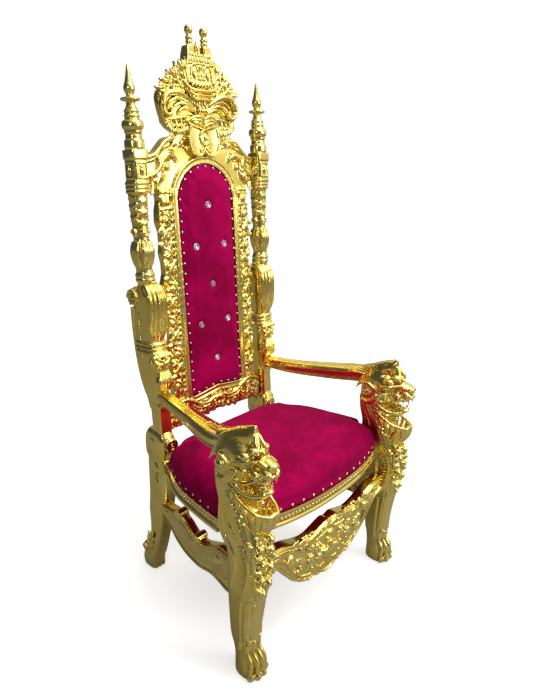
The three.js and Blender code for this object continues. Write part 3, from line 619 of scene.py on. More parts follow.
# The wings: a thick rolled rim that curls in, and grooves that fan out from the boss.
for side in (-1, 1):
    s = side
    strand(form, [[s * 22, 0, 1610, 7, 8], [s * 52, -3, 1630, 9, 10], [s * 92, -5, 1645, 10, 12],
                  [s * 130, -5, 1641, 10, 12], [s * 150, -4, 1619, 9.5, 12], [s * 150, -3, 1594, 8, 10],
                  [s * 135, -4, 1581, 7, 9], [s * 119, -5, 1587, 6, 8], [s * 119, -6, 1600, 5, 7],
                  [s * 129, -6, 1602, 4, 6]], FRONT, 5, 10)
    strand(form, [[s * 152, 14, 1644, 7, 14], [s * 156, 14, 1618, 7, 14], [s * 150, 14, 1585, 6, 14],
                  [s * 140, 14, 1556, 6, 12]], FRONT, 3, 8)
    for k, (up, reach, fat) in enumerate(((0, 1.0, 5.5), (-13, 0.86, 5), (-25, 0.72, 4.5))):
        strand(form, [[s * 24, -2, 1603 + up * 0.5, fat * 0.6, 5], [s * 56 * reach, -3, 1621 + up * 0.9, fat, 7],
                      [s * 94 * reach, -3, 1630 + up, fat, 7], [s * 124 * reach, -2, 1619 + up, fat * 0.8, 6],
                      [s * 131 * reach, 0, 1607 + up, fat * 0.5, 4]], FRONT, 4, 8)
    strand(form, [[s * 36, 0, 1580, 4, 6], [s * 70, -3, 1577, 5.5, 7], [s * 104, -2, 1572, 5, 6],
                  [s * 134, 2, 1570, 4, 5]], FRONT, 4, 8)
    lump(form, (s * 128, -2, 1600), (6, 8, 6))

    # Flames of leaf stand over each wing, and soft tufts hang under it.
    for x, z, ex, ez, fat, bend in ((50, 1654, 84, 1738, 36, 0.22), (66, 1648, 116, 1711, 36, 0.2),
                                    (88, 1646, 143, 1684, 34, 0.18), (112, 1646, 163, 1659, 26, 0.16)):
        length = math.hypot(ex - x, ez - z)
        acanthus(form, (s * x, 2, z), (s * (ex - x), 0, ez - z), FRONT, length, fat, -bend * s * 0.5, 0.12, 4, 0.11)
        strand(form, [[s * x, 14, z, 10, 12], [s * (x + ex) / 2, 14, (z + ez) / 2, 10, 12], [s * ex, 14, ez, 2, 6]],
               FRONT, 3, 8)
    for x, z, lean, length in ((64, 1576, 0.15, 50), (84, 1574, 0.2, 52), (104, 1570, 0.2, 46), (124, 1568, 0.1, 40),
                               (140, 1572, -0.05, 34)):
        acanthus(form, (s * x, 2, z), (s * lean, 0, -1), FRONT, length, 20, 0.25 * s, 0.12, 3, 0.13)
    acanthus(form, (s * 70, 3, 1548), (s * 0.35, 0, -1), FRONT, 74, 34, -0.35 * s, 0.08, 5, 0.09)
    acanthus(form, (s * 96, 6, 1540), (s * 0.1, 0, -1), FRONT, 58, 30, 0.3 * s, 0.08, 4, 0.1)
    acanthus(form, (s * 118, 6, 1548), (s * 0.25, 0, -1), FRONT, 34, 24, 0.2 * s, 0.08, 3, 0.1)
    volute(form, (s * 82, -1, 1532), (s, 0, 0), UP, 13, 1.3, 0.24, 0.4)
    volute(form, (s * 66, -1, 1482), (s, 0, 0), UP, 10, 1.2, 0.26, 0.4)

# The fluted lip over the shield.
for dip, half, fat in ((0, 68, 5), (-11, 60, 4), (-21, 48, 4)):
    strand(form, across_middle([(0, -14, 1573 + dip, fat, 6), (18, -15, 1580 + dip, fat, 6),
                                (40, -13, 1578 + dip * 0.8, fat, 6), (half, -8, 1563 + dip * 0.2, fat * 0.5, 4)]),
           FRONT, 4, 8)
strand(form, across_middle([(0, -13, 1541, 5, 7), (22, -12, 1547, 4, 6), (44, -10, 1552, 4, 6),
                            (66, -6, 1563, 2.5, 4)]), FRONT, 4, 8)
lump(form, (0, -9, 1562), (52, 7, 14), detail=16)

# The shield: a smooth field with a raised border, a curled boss and two curls at its foot.
SHIELD = [(0, 1468), (12, 1461), (30, 1457), (46, 1462), (57, 1474), (63, 1496), (64, 1520), (60, 1548), (50, 1560), (0, 1560)]
board(form, both_sides(SHIELD), -12, 6, 4)
strand(form, across_middle([(4, -12, 1476, 3, 3), (14, -13, 1465, 3.5, 4), (32, -13, 1461, 3.5, 4),
                            (50, -13, 1470, 3.5, 4), (60, -13, 1494, 3.5, 4), (61, -13, 1522, 3.5, 4),
                            (54, -12, 1550, 3, 3)]), FRONT, 3, 8)
for side in (-1, 1):
    volute(form, (side * 15, -13, 1480), (-side, 0, 0), UP, 12, 1.4, 0.2, 0.35)
lump(form, (0, -9, 1517), (27, 6, 26), detail=16)
strand(form, [[14, -14, 1532, 4, 4], [0, -14, 1540, 4, 5], [-15, -14, 1530, 4, 5], [-18, -14, 1514, 4, 5],
              [-10, -14, 1499, 4, 5], [4, -14, 1496, 4, 5], [15, -14, 1506, 4, 4], [14, -14, 1518, 3, 3]], FRONT, 4, 8)
lump(form, (2, -14, 1517), (8, 6, 9))
crest = piece(form, "carved_crest", LEANS)
carved(crest, 1.7, 95000)
show(crest, "gilding", GILDING, "crest")

# ---------------------------------------------------------------- frame of the back
# One carved board frames the velvet: an ogee top rail with a smooth channel, a double moulding round the arch,
# side panels of close foliage with wavy edges, and a scrolled lower rail. It is plain behind.
PAD_HALF = 120
PAD_TOP = 1437
PAD_BOTTOM = 657
FRAME_HALF = 231.7
FOOT_HALF = 222


def pad_outline(grow, arch_steps=16):
    """The right half of the velvet's edge, from the middle of the foot round to the top of the arch."""
    half = PAD_HALF + grow
    low_edge = PAD_BOTTOM - grow
    arch = [(half * math.cos(i / arch_steps * math.pi / 2), PAD_TOP - PAD_HALF + half * math.sin(i / arch_steps * math.pi / 2))
            for i in range(arch_steps + 1)]
    return [(0, low_edge + 14), (70, low_edge + 4), (half - 14, low_edge), (half - 4, low_edge + 4),
            (half, low_edge + 14), *arch]


def moulding(form, grow, y, wide, tall, sides=8):
    """A rib that follows the edge of the velvet all the way round."""
    half = pad_outline(grow)
    loop = [*half, *[(-x, z) for x, z in reversed(half[1:-1])], half[0]]
    strand(form, [[x, y, z, wide, tall] for x, z in loop], FRONT, 2, sides)


edge = [(0, 572), (60, 566), (140, 561), (FOOT_HALF - 3, 560), (FOOT_HALF - 3, 640), (206, 662), (190, 680)]
for i in range(21):
    z = 700 + i * 33
    edge.append((191 + 5 * math.sin(i * 1.9) + 3 * math.sin(i * 0.8), z))
edge += [(200, 1378), (219, 1390), (FRAME_HALF - 1, 1396), (FRAME_HALF - 1, 1462), (197, 1470), (186, 1477), (178, 1485),
         (160, 1503), (150, 1512), (134, 1518), (0, 1520)]
form = bmesh.new()
board(form, both_sides(edge), 4, 32.5, 3)
hole = bmesh.new()
half = pad_outline(1)
board(hole, [*half, *[(-x, z) for x, z in reversed(half[1:-1])]], -60, 90, 0.1)
opening = piece(hole, "opening", LEANS)

# The double moulding round the velvet.
moulding(form, 3.5, 0, 3.2, 6)
moulding(form, 12, 1, 7.5, 6)
moulding(form, 21, -1, 4.0, 7)

for side in (-1, 1):
    s = side
    # The top rail: two rims with a smooth hollow between them, and foliage in the corner under it.
    strand(form, [[s * 229, 0, 1456, 6, 8], [s * 198, 0, 1463, 6, 8], [s * 178, 0, 1479, 6, 8], [s * 160, 0, 1497, 6, 8],
                  [s * 138, 0, 1510, 6, 8], [s * 100, 2, 1514, 5, 6]], FRONT, 5, 8)
    strand(form, [[s * 229, 2, 1443, 2.5, 5], [s * 196, 2, 1451, 2.5, 5], [s * 174, 2, 1468, 2.5, 5],
                  [s * 156, 2, 1485, 2.5, 5], [s * 130, 2, 1496, 2.5, 5]], FRONT, 5, 6)
    strand(form, [[s * 229, 0, 1402, 5.5, 8], [s * 206, 0, 1406, 5.5, 8], [s * 184, -1, 1424, 5.5, 8],
                  [s * 166, -1, 1450, 5.5, 8], [s * 146, -1, 1464, 5.5, 8], [s * 124, 0, 1460, 5, 7],
                  [s * 112, 2, 1446, 4, 6]], FRONT, 5, 8)
    strand(form, [[s * 229, 2, 1414, 2.5, 5], [s * 208, 2, 1418, 2.5, 5], [s * 190, 2, 1434, 2.5, 5],
                  [s * 172, 2, 1458, 2.5, 5], [s * 148, 2, 1474, 2.5, 5], [s * 120, 2, 1474, 2.5, 5]], FRONT, 5, 6)
    beads(form, [(s * 196, 0, 1408), (s * 176, 0, 1432), (s * 158, 0, 1450), (s * 136, 0, 1454)], 3.6, 8.5)
    acanthus(form, (s * 198, 3, 1376), (-s * 0.75, 0, 1), FRONT, 74, 34, 0.3 * s, 0.06, 5, 0.09)
    acanthus(form, (s * 214, 3, 1384), (-s * 0.3, 0, -1), FRONT, 40, 26, -0.3 * s, 0.06, 4, 0.12)
    volute(form, (s * 150, -1, 1428), (s, 0, 0), UP, 12, 1.4, 0.24, 0.45)
    volute(form, (s * 182, -1, 1398), (s, 0, 0), UP, 13, 1.4, 0.24, 0.45)
    for i in range(4):
        lump(form, (s * (206 - 9 * i), 0, 1388 + 4 * (i % 2)), (5, 6, 7), detail=8)

    # A little basket capital, and below it scrolls and leaves that turn about each other down the panel.
    for i in range(4):
        lump(form, (s * (156 + 10 * i), -1, 1352 + 3 * (i % 2)), (5.5, 6, 9), detail=8)
        strand(form, [[s * (158 + 9 * i), 1, 1342, 3.4, 5], [s * (160 + 7 * i), -2, 1324, 4, 6],
                      [s * (163 + 5 * i), 1, 1306, 3, 5]], FRONT, 3, 6)
    for z in (1341, 1303):
        strand(form, [[s * 150, 0, z, 3.5, 6], [s * 196, 0, z - 2, 3.5, 6]], FRONT, 3, 8)
    for i in range(11):
        z = 1270 - i * 56
        flip = 1 if i % 2 else -1
        x = 170 + 7 * math.sin(i * 1.3)
        strand(form, [[s * (x - 17 * flip), 2, z + 26, 4, 6], [s * (x + 4 * flip), -1, z + 14, 5, 7],
                      [s * (x + 13 * flip), -1, z - 6, 5, 7], [s * x, 1, z - 24, 4, 6]], FRONT, 4, 8)
        volute(form, (s * (x - 7 * flip), -1, z + 2), (s * flip, 0, 0), UP, 14, 1.5, 0.22, 0.45, way=flip)
        acanthus(form, (s * (x + 2 * flip), 2, z + 20), (s * flip * 0.9, 0, 0.5), FRONT, 30, 24, 0.4 * s, 0.1, 3, 0.16)
        acanthus(form, (s * (x + 6 * flip), 2, z - 12), (s * flip * 0.8, 0, -0.8), FRONT, 30, 24, -0.4 * s, 0.1, 3, 0.16)
        acanthus(form, (s * (x - 8 * flip), 2, z - 14), (-s * flip * 0.7, 0, -0.8), FRONT, 26, 20, 0.3 * s, 0.1, 3, 0.16)
        for k in range(3):
            lump(form, (s * (150 + 3 * (k % 2)), 0, z - 22 + 18 * k), (4.4, 6, 5.5), detail=8)
            lump(form, (s * (190 + 3 * math.sin(i + k)), 2, z - 20 + 18 * k), (5, 7, 7), detail=8)

    # The lower rail: long scrolls run from the middle shell to the posts, over a row of hanging leaves.
    strand(form, [[s * 16, 0, 628, 6, 8], [s * 52, -1, 616, 6.5, 9], [s * 92, -1, 622, 6.5, 9], [s * 124, -1, 642, 6.5, 9],
                  [s * 156, -1, 654, 6, 9], [s * 190, 0, 648, 6, 8], [s * 214, 0, 632, 5, 7]], FRONT, 5, 8)
    strand(form, [[s * 20, 1, 614, 3, 6], [s * 56, 0, 602, 3.5, 7], [s * 96, 0, 607, 3.5, 7], [s * 130, 0, 627, 3.5, 7],
                  [s * 160, 0, 638, 3.5, 7], [s * 190, 1, 632, 3, 6]], FRONT, 5, 8)
    volute(form, (s * 196, -1, 618), (s, 0, 0), UP, 19, 1.6, 0.22, 0.4, way=-1)
    volute(form, (s * 40, -1, 636), (s, 0, 0), UP, 12, 1.4, 0.24, 0.45)
    volute(form, (s * 112, -1, 598), (s, 0, 0), UP, 15, 1.5, 0.22, 0.4)
    for x, z, dx, length in ((30, 604, 0.1, 36), (58, 598, 0.2, 34), (84, 596, 0.3, 36), (136, 610, 0.2, 44),
                             (162, 616, 0.1, 46), (184, 602, 0.3, 38), (206, 600, 0.2, 34)):
        acanthus(form, (s * x, 2, z), (s * dx, 0, -1), FRONT, length, 24, 0.3 * s, 0.06, 4, 0.14)
    acanthus(form, (s * 176, 2, 664), (s * 0.6, 0, 1), FRONT, 44, 26, -0.4 * s, 0.06, 4, 0.12)
    acanthus(form, (s * 74, 2, 622), (s, 0, 0.3), FRONT, 44, 20, 0.3 * s, 0.04, 4, 0.1)
for i in range(7):
    angle = (i - 3) * 0.42
    strand(form, [[0, 0, 606, 3, 5], [20 * math.sin(angle), -4, 606 + 17 * math.cos(angle), 4.5, 7],
                  [31 * math.sin(angle), -1, 606 + 28 * math.cos(angle), 4, 5]], FRONT, 3, 8)
lump(form, (0, -2, 598), (14, 9, 10))
carved_frame = piece(form, "carved_back_frame", LEANS)
melt = carved_frame.modifiers.new("melt", "REMESH")
melt.mode = "VOXEL"
melt.voxel_size = 0.0024
settle(carved_frame)
cut = carved_frame.modifiers.new("cut", "BOOLEAN")
cut.operation = "DIFFERENCE"
cut.object = opening
settle(carved_frame)
bpy.data.objects.remove(opening)
carved(carved_frame, 2.3, 115000)
show(carved_frame, "gilding", GILDING, "back_frame")

# ---------------------------------------------------------------- velvet panel of the back
# Crimson velvet over a thin layer of foam, nailed down inside the moulding and pulled in by seven buttons.
# The panel is domed, soft at its edge, and its nap shows broad lighter and darker strokes.


def velvet(name, bright, dark):
    """Cotton velvet: a deep colour with a soft sheen, brushed unevenly, over a very fine pile."""
    made, shader, at = material(name)
    brushed = at.node("ShaderNodeTexNoise", Vector=at, Scale=7.0, Detail=4.0)
    pile = at.node("ShaderNodeTexNoise", Vector=at, Scale=900.0, Detail=2.0)
    crushed = at.node("ShaderNodeTexNoise", Vector=at, Scale=38.0, Detail=3.0)
    feed(shader, "Base Color", (brushed * 0.7 + crushed * 0.3).between(0.36, 0.66).mix(dark, bright))
    feed(shader, "Roughness", 0.72 + 0.2 * crushed)
    bump = at.node("ShaderNodeBump", Height=pile * 0.5 + crushed * 0.5, Strength=0.2, Distance=0.0007)
    feed(shader, "Normal", bump)
    shader.inputs["Specular IOR Level"].default_value = 0.05
    shader.inputs["Sheen Weight"].default_value = 0.25
    shader.inputs["Sheen Roughness"].default_value = 0.35
    shader.inputs["Sheen Tint"].default_value = (1.0, 0.05, 0.35, 1)
    return made


VELVET = velvet("velvet", (0.40, 0.0, 0.075), (0.235, 0.0, 0.038))
BACKING = velvet("backing_cloth", (0.26, 0.0, 0.05), (0.17, 0.0, 0.03))
PAD_PROUD = 15
BUTTON_ROWS = ((1307, (0,)), (1174, (-62, 62)), (1041, (0,)), (908, (-62, 62)), (775, (0,)))
BUTTONS = [(x, z) for z, places in BUTTON_ROWS for x in places]


def inflate(obj, cap, pinned, pressure=4.0):
    """Swells a soft piece as stuffed cloth does, holds it where pinned says, and caps how far a point moves."""
    rest = np.array([v.co[:] for v in obj.data.vertices])
    held = obj.vertex_groups.new(name="held")
    for v in obj.data.vertices:
        if pinned(v.co):
            held.add([v.index], 1.0, "REPLACE")
    cloth = obj.modifiers.new("cloth", "CLOTH")
    cloth.settings.use_pressure = True
    cloth.settings.uniform_pressure_force = pressure
    cloth.settings.effector_weights.gravity = 0
    cloth.settings.vertex_group_mass = "held"
    cloth.settings.quality = 4
    cloth.point_cache.frame_end = 20
    for step in range(1, 21):
        bpy.context.scene.frame_set(step)
    settle(obj)
    bpy.context.scene.frame_set(1)
    moved = np.array([v.co[:] for v in obj.data.vertices]) - rest
    far = np.linalg.norm(moved, axis=1, keepdims=True)
    kept = rest + moved * np.minimum(1, cap / np.maximum(far, 1e-9))
    obj.data.vertices.foreach_set("co", kept.ravel())
    obj.data.update()


def panel_half(grow):
    """The whole edge of the velvet, grown or shrunk, as a closed outline."""
    half = pad_outline(grow)
    return [*half, *[(-x, z) for x, z in reversed(half[1:-1])]]


part = bmesh.new()
rings = []
for grow, y in ((-0.6, 13.7), (-0.6, 1), (-1.5, -2), (-6, -6), (-14, -9), (-30, -11), (-60, -12)):
    rings.append([part.verts.new((x, y, z)) for x, z in panel_half(grow)])
for one, two in zip(rings, rings[1:]):
    pairs = [pair for ring in (one, two) for pair in zip(ring, ring[1:] + ring[:1])]
    bmesh.ops.bridge_loops(part, edges=[part.edges.get(pair) or part.edges.new(pair) for pair in pairs])
part.faces.new(rings[0])
part.faces.new(rings[-1])
back_pad = piece(part, "velvet_back_panel", Matrix.Identity(4))
melt = back_pad.modifiers.new("melt", "REMESH")
melt.mode = "VOXEL"
melt.voxel_size = 5.0
settle(back_pad)
back_pad.data.transform(LEANS)
to_pad = LEANS.inverted()
inflate(back_pad, 0.004, lambda co: (to_pad @ co).y > -1.5)
finer = back_pad.modifiers.new("finer", "SUBSURF")
finer.levels = finer.render_levels = 1
settle(back_pad)
for v in back_pad.data.vertices:
    here = to_pad @ v.co
    if here.y < 6:
        near = min(math.hypot(here.x - x, here.z - z) for x, z in BUTTONS)
        here.y += 7.0 * math.exp(-(near / 15) ** 2) + 1.3 * math.exp(-(near / 45) ** 2)
        here.y += 0.8 * noise.noise(here * 0.018)
    here.y = max(here.y, -PAD_PROUD + 0.3)
    v.co = LEANS @ here
thin(back_pad, 56000)
show(back_pad, "velvet", VELVET, "back_pad")

# Bright dome-headed nails stand side by side along the edge of the velvet, about 34 mm apart.


def nail_metal():
    """Nickel-plated steel, bright, with fine scuffs."""
    made, shader, at = material("nail_metal")
    scuff = at.node("ShaderNodeTexNoise", Vector=at, Scale=500.0, Detail=3.0)
    feed(shader, "Base Color", scuff.between(0.4, 0.7).mix((0.93, 0.93, 0.95), (0.72, 0.72, 0.76)))
    feed(shader, "Roughness", 0.12 + 0.2 * scuff)
    shader.inputs["Metallic"].default_value = 1.0
    return made


NAIL_METAL = nail_metal()


def nail_row(form, points, facings, pitch, radius):
    """Domed nail heads along a run of points; facings are the way each point's surface looks."""
    left = pitch / 2
    for a, b, out in zip(points, points[1:], facings):
        a, b, out = Vector(a), Vector(b), Vector(out).normalized()
        length = (b - a).length
        while left < length:
            turn = out.to_track_quat("Z", "Y").to_matrix().to_4x4()
            part = bmesh.new()
            bmesh.ops.create_uvsphere(part, u_segments=12, v_segments=8, radius=1, matrix=Matrix.Translation(
                a.lerp(b, left / length)) @ turn @ Matrix.Diagonal((radius, radius, radius * 0.62, 1)))
            join(form, part)
            left += pitch
        left -= length


form = bmesh.new()
loop = [(x, -5.0, z) for x, z in panel_half(-7)]
nail_row(form, [*loop, loop[0]], [FRONT] * len(loop), 34, 3.6)
nails = piece(form, "back_nails", LEANS)
show(nails, "nail", NAIL_METAL)

# Each button is a cut crystal in a thin silver rim, pulled down into the panel by a thread.


def cut_crystal():
    """Clear cut glass, seen through to the silver under it, with faint inner clouding."""
    made, shader, at = material("cut_crystal")
    cloud = at.node("ShaderNodeTexNoise", Vector=at, Scale=220.0, Detail=2.0)
    feed(shader, "Base Color", cloud.mix((0.93, 0.96, 1.0), (0.99, 0.99, 1.0)))
    feed(shader, "Roughness", 0.02 + 0.05 * cloud)
    shader.inputs["Transmission Weight"].default_value = 0.9
    shader.inputs["IOR"].default_value = 1.52
    return made


CRYSTAL = cut_crystal()
cups = bmesh.new()
for i, (x, z) in enumerate(BUTTONS):
    turn = Matrix.Translation((x, -7.6, z)) @ Matrix.Rotation(math.pi / 2, 4, "X")
    part = bmesh.new()
    cup = [[0.05, 0.6], [8.4, 0.6], [9.2, 2.4], [10.4, 3.4], [11.6, 2.6], [11.8, 0.8], [11, -1.2], [0.05, -1.2]]
    turned(part, cup, steps=28)
    bmesh.ops.transform(part, matrix=turn, verts=part.verts[:])
    join(cups, part)
    part = bmesh.new()
    turned(part, [[0.05, 0.9], [8.6, 0.9], [9.0, 2.6], [6.2, 6.0], [3.4, 7.2], [0.05, 7.2]], steps=8)
    bmesh.ops.transform(part, matrix=turn, verts=part.verts[:])
    gem = piece(part, f"crystal_{i + 1}", LEANS)
    show(gem, "crystal", CRYSTAL, f"button_{i + 1}")
    for face in gem.data.polygons:
        face.use_smooth = False
rims = piece(cups, "button_rims", LEANS)
show(rims, "nail", NAIL_METAL)

# The rear of the panel is a thin board covered with plain velvet, drawn tight round its edge.
form = bmesh.new()
board(form, panel_half(-0.5), 15.5, 32.6, 3)
backing = piece(form, "velvet_backing", LEANS)
show(backing, "backing_cloth", BACKING, "back_board")
for face in backing.data.polygons:
    face.use_smooth = False

# ---------------------------------------------------------------- seat rails
# The frame of the seat is a bowed rail between the legs, hollowed between two fillets with a row of pearls in
# the hollow. The rear rail, out of sight, is a plain gilded bar.
SEAT_TOP = 483
SEAT_SLOPE = 0.055
RAIL_HEIGHT = 47
RAIL_THICK = 38
SEAT_PLAN = [(0, -314), (90, -311), (180, -299), (270, -276), (352, -250), (377, -170), (370, -100), (358, -20),
             (344, 50), (322, 110), (296, 155), (282, 190)]


def seat_top(y):
    return SEAT_TOP - SEAT_SLOPE * y


def seat_run(points):
    """A moulded rail along a run in plan: [place, way in] at each point."""
    run = []
    for i, (x, y) in enumerate(points):
        before, after = points[max(i - 1, 0)], points[min(i + 1, len(points) - 1)]
        along = Vector((after[0] - before[0], after[1] - before[1])).normalized()
        run.append((Vector((x, y, 0)), Vector((-along.y, along.x, 0))))
    return run


RAIL_PROFILE = [(0.6, 0.6), (0.4, 5), (1.2, 8), (6.4, 12), (6.6, 23), (6.4, 34), (1.2, 38), (0.4, 41), (0.8, 46.4),
                (37.4, 46.4), (37.4, 0.6)]
for name, run in (("front", [(-x, y) for x, y in reversed(SEAT_PLAN[1:5])] + SEAT_PLAN[:5]),
                  ("right", SEAT_PLAN[5:])):
    stops = [tuple(p[:2]) for p in through([list(p) for p in run], 4)]
    if name == "front":
        stops = [p for p in stops if abs(p[0]) < 309]
    else:
        stops = [p for p in stops if -183 < p[1] < 188]
    form = bmesh.new()
    rings = []
    for place, inward in seat_run(stops):
        ring = []
        for inset, lift in RAIL_PROFILE:
            spot = place + inward * inset
            ring.append(form.verts.new((spot.x, spot.y, seat_top(spot.y) - RAIL_HEIGHT + lift)))
        rings.append(ring)
    for one, two in zip(rings, rings[1:]):
        for a, b in ((one, one), (two, two)):
            for v, w in zip(a, b[1:] + b[:1]):
                if not form.edges.get((v, w)):
                    form.edges.new((v, w))
        bmesh.ops.bridge_loops(form, edges=[form.edges.get((v, w)) for ring in (one, two)
                                            for v, w in zip(ring, ring[1:] + ring[:1])])
    form.faces.new(rings[0])
    form.faces.new(rings[-1])
    pearls = [place + inward * 7.5 + Vector((0, 0, seat_top(place.y + inward.y * 7) - RAIL_HEIGHT + 23))
              for place, inward in seat_run(stops)]
    beads(form, pearls, 5.2, 13.5)
    for lift in (17.5, 29):
        beads(form, [p + Vector((0, 0, lift - 23)) for p in pearls], 1.9, 4.6)
    rail = piece(form, f"moulded_rail_{name}")
    note_hollows(rail, 1)
    show(rail, "gilding", GILDING, f"seat_rail_{name}")
    for face in rail.data.polygons:
        face.use_smooth = face.area < 2e-5
    if name == "right":
        left_rail = other_side(rail, "moulded_rail_left")
        show(left_rail, "gilding", GILDING, "seat_rail_left")
        for face in left_rail.data.polygons:
            face.use_smooth = face.area < 2e-5
plain_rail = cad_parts["seat_rail_back"]
plain_rail.data.materials.clear()
plain_rail.data.materials.append(GILDING)

# ---------------------------------------------------------------- velvet seat
# A deep domed cushion of the same velvet over foam and webbing, nailed all round to the top of the rails, and cut
# out round the two lion legs and the rear posts.
SEAT_MIDDLE = -35
part = bmesh.new()
edge = [tuple(p[:2]) for p in through([list(p) for p in [*SEAT_PLAN, (214, 218), (190, 222), (0, 222)]], 3)]
edge = [*edge, *[(-x, y) for x, y in reversed(edge[1:-1])]]
rings = []
for up, size in ((0.6, 0.978), (10, 0.975), (24, 0.975), (42, 0.965), (58, 0.93), (70, 0.87), (79, 0.77), (84, 0.62),
                 (86.5, 0.4), (87.5, 0.15)):
    ring = []
    for x, y in edge:
        deep = SEAT_MIDDLE + (y - SEAT_MIDDLE) * size
        ring.append(part.verts.new((x * size, deep, seat_top(deep) + up)))
    rings.append(ring)
for one, two in zip(rings, rings[1:]):
    pairs = [pair for ring in (one, two) for pair in zip(ring, ring[1:] + ring[:1])]
    bmesh.ops.bridge_loops(part, edges=[part.edges.get(pair) or part.edges.new(pair) for pair in pairs])
part.faces.new(rings[0])
part.faces.new(rings[-1])
seat = piece(part, "velvet_seat")
blocks = bmesh.new()
for side in (-1, 1):
    for x, y, wide, deep in ((362, -252, 124, 196), (277, 250, 126, 144)):
        bmesh.ops.create_cube(blocks, size=1, matrix=Matrix.Translation((side * x, y, 500)) @ Matrix.Diagonal(
            (wide, deep, 400, 1)))
notches = piece(blocks, "notches")
cut = seat.modifiers.new("cut", "BOOLEAN")
cut.operation = "DIFFERENCE"
cut.object = notches
settle(seat)
bpy.data.objects.remove(notches)
melt = seat.modifiers.new("melt", "REMESH")
melt.mode = "VOXEL"
melt.voxel_size = 0.006
settle(seat)
to_seat = STANDS.inverted()


def near_rail(co):
    here = to_seat @ co
    return here.z < seat_top(here.y) + 9


inflate(seat, 0.005, near_rail)
finer = seat.modifiers.new("finer", "SUBSURF")
finer.levels = finer.render_levels = 1
settle(seat)
for v in seat.data.vertices:
    here = to_seat @ v.co
    here.z = max(here.z, seat_top(here.y) + 0.6)
    here.z += 1.6 * noise.noise(here * 0.012) * min(1, max(0, here.z - seat_top(here.y) - 8) / 30)
    v.co = STANDS @ here
thin(seat, 70000)
show(seat, "velvet", VELVET, "seat_pad")

form = bmesh.new()
for side in (-1, 1):
    for run in (SEAT_PLAN[:5], SEAT_PLAN[5:]):
        stops = [tuple(p[:2]) for p in through([list(p) for p in run], 4)]
        stops = [p for p in stops if p[0] < 300 or p[1] > -150]
        if run is SEAT_PLAN[5:]:
            stops = [p for p in stops if p[1] < 170]
        points, facings = [], []
        for place, inward in seat_run(stops):
            spot = place * 0.975 + Vector((0, SEAT_MIDDLE * 0.025, 0))
            points.append((side * spot.x, spot.y, seat_top(spot.y) + 9))
            facings.append((-side * inward.x, -inward.y, 0.15))
        nail_row(form, points, facings, 42, 3.8)
seat_nails = piece(form, "seat_nails")
show(seat_nails, "nail", NAIL_METAL)

# ---------------------------------------------------------------- front legs with lion heads
# Each front leg is one carved piece: a paw of four toes, a fluted shank, a garland of roses in a scrolled border,
# a scaly neck, a pleated collar and a roaring lion's head under a combed tuft, which ends the arm.
LEG_X = 355
HEAD_X = 349

# From paw to neck: [height, x, y, half-width, half-depth, squareness].
BEAST_SECTIONS = [
    [0, 353, -291, 36, 43, 2.3], [26, 353, -291, 37, 44, 2.3], [56, 353, -286, 34, 41, 2.3],
    [86, 354, -278, 30, 36, 2.6], [112, 355, -274, 31, 36, 3], [150, 355, -271, 34, 40, 3.6],
    [240, 355, -272, 40, 44, 3.8], [310, 355, -276, 43, 52, 3.8], [370, 355, -280, 44, 57, 3.8],
    [445, 355, -276, 44, 62, 3.8], [490, 354, -258, 44, 76, 3.5], [530, 353, -248, 43, 70, 3.2],
    [560, 352, -243, 43, 62, 3], [590, 351, -234, 44, 54, 3], [620, 350, -226, 46, 56, 3], [660, 349, -222, 48, 58, 3],
    [700, 349, -220, 48, 58, 2.6], [740, 349, -220, 42, 54, 2.4], [765, 349, -218, 32, 46, 2.4],
]


def beast_at(z):
    """The leg's section at a height."""
    for one, two in zip(BEAST_SECTIONS, BEAST_SECTIONS[1:]):
        if z <= two[0]:
            return [a + (b - a) * (z - one[0]) / (two[0] - one[0]) for a, b in zip(one, two)]
    return BEAST_SECTIONS[-1]


def on_leg(z, turn, out=0.0):
    """A point on the leg's skin at a height; turn is in degrees from its front towards the outside."""
    _, x, y, half, deep, power = beast_at(z)
    across, ahead = math.sin(math.radians(turn)), math.cos(math.radians(turn))
    return Vector((x + math.copysign(abs(across) ** (2 / power), across) * (half + out),
                   y - math.copysign(abs(ahead) ** (2 / power), ahead) * (deep + out), z))


def leg_rib(form, run, steps=4, sides=8):
    """A rib laid on the leg through [height, turn, half-width, half-height]."""
    middle = math.radians(sum(p[1] for p in run) / len(run))
    strand(form, [[*on_leg(z, turn), half, tall] for z, turn, half, tall in run],
           (math.sin(middle), -math.cos(middle), 0), steps, sides)


form = bmesh.new()
smooth = through(BEAST_SECTIONS, 3)
tube(form, [oval((x, y, z), (half, 0, 0), (0, deep, 0)) for z, x, y, half, deep, _ in smooth], 36,
     [section[5] for section in smooth])

# The skull, the raised muzzle with its broad nose, the brow between the eyes and the combed tuft above.
lump(form, (HEAD_X, -248, 722), (44, 56, 46), (-12, 0, 0), detail=20)
strand(form, [[HEAD_X, -270, 724, 24, 22], [HEAD_X, -300, 728, 22, 20], [HEAD_X, -328, 731, 20, 16],
              [HEAD_X, -346, 731, 18, 11]], UP, 5, 16)
lump(form, (HEAD_X, -347, 733), (17, 14, 9), (8, 0, 0), detail=16)
lump(form, (HEAD_X, -352, 724), (8, 9, 9), detail=12)
lump(form, (HEAD_X, -304, 752), (11, 16, 13), detail=14)
tube(form, [oval((HEAD_X, y, 750 + tall / 2), (half, 0, 0), (0, 0, tall / 2 + 6), (0, 1, 0))
            for y, half, tall in ((-158, 26, 14), (-190, 28, 26), (-220, 28, 42), (-250, 25, 55), (-274, 20, 64),
                                  (-286, 13, 66))], 20, [1.7] * 6)
lump(form, (HEAD_X, -305, 640), (24, 30, 9), (6, 0, 0), detail=16)
lump(form, (HEAD_X, -300, 655), (13, 26, 7), (-4, 0, 0), detail=14)
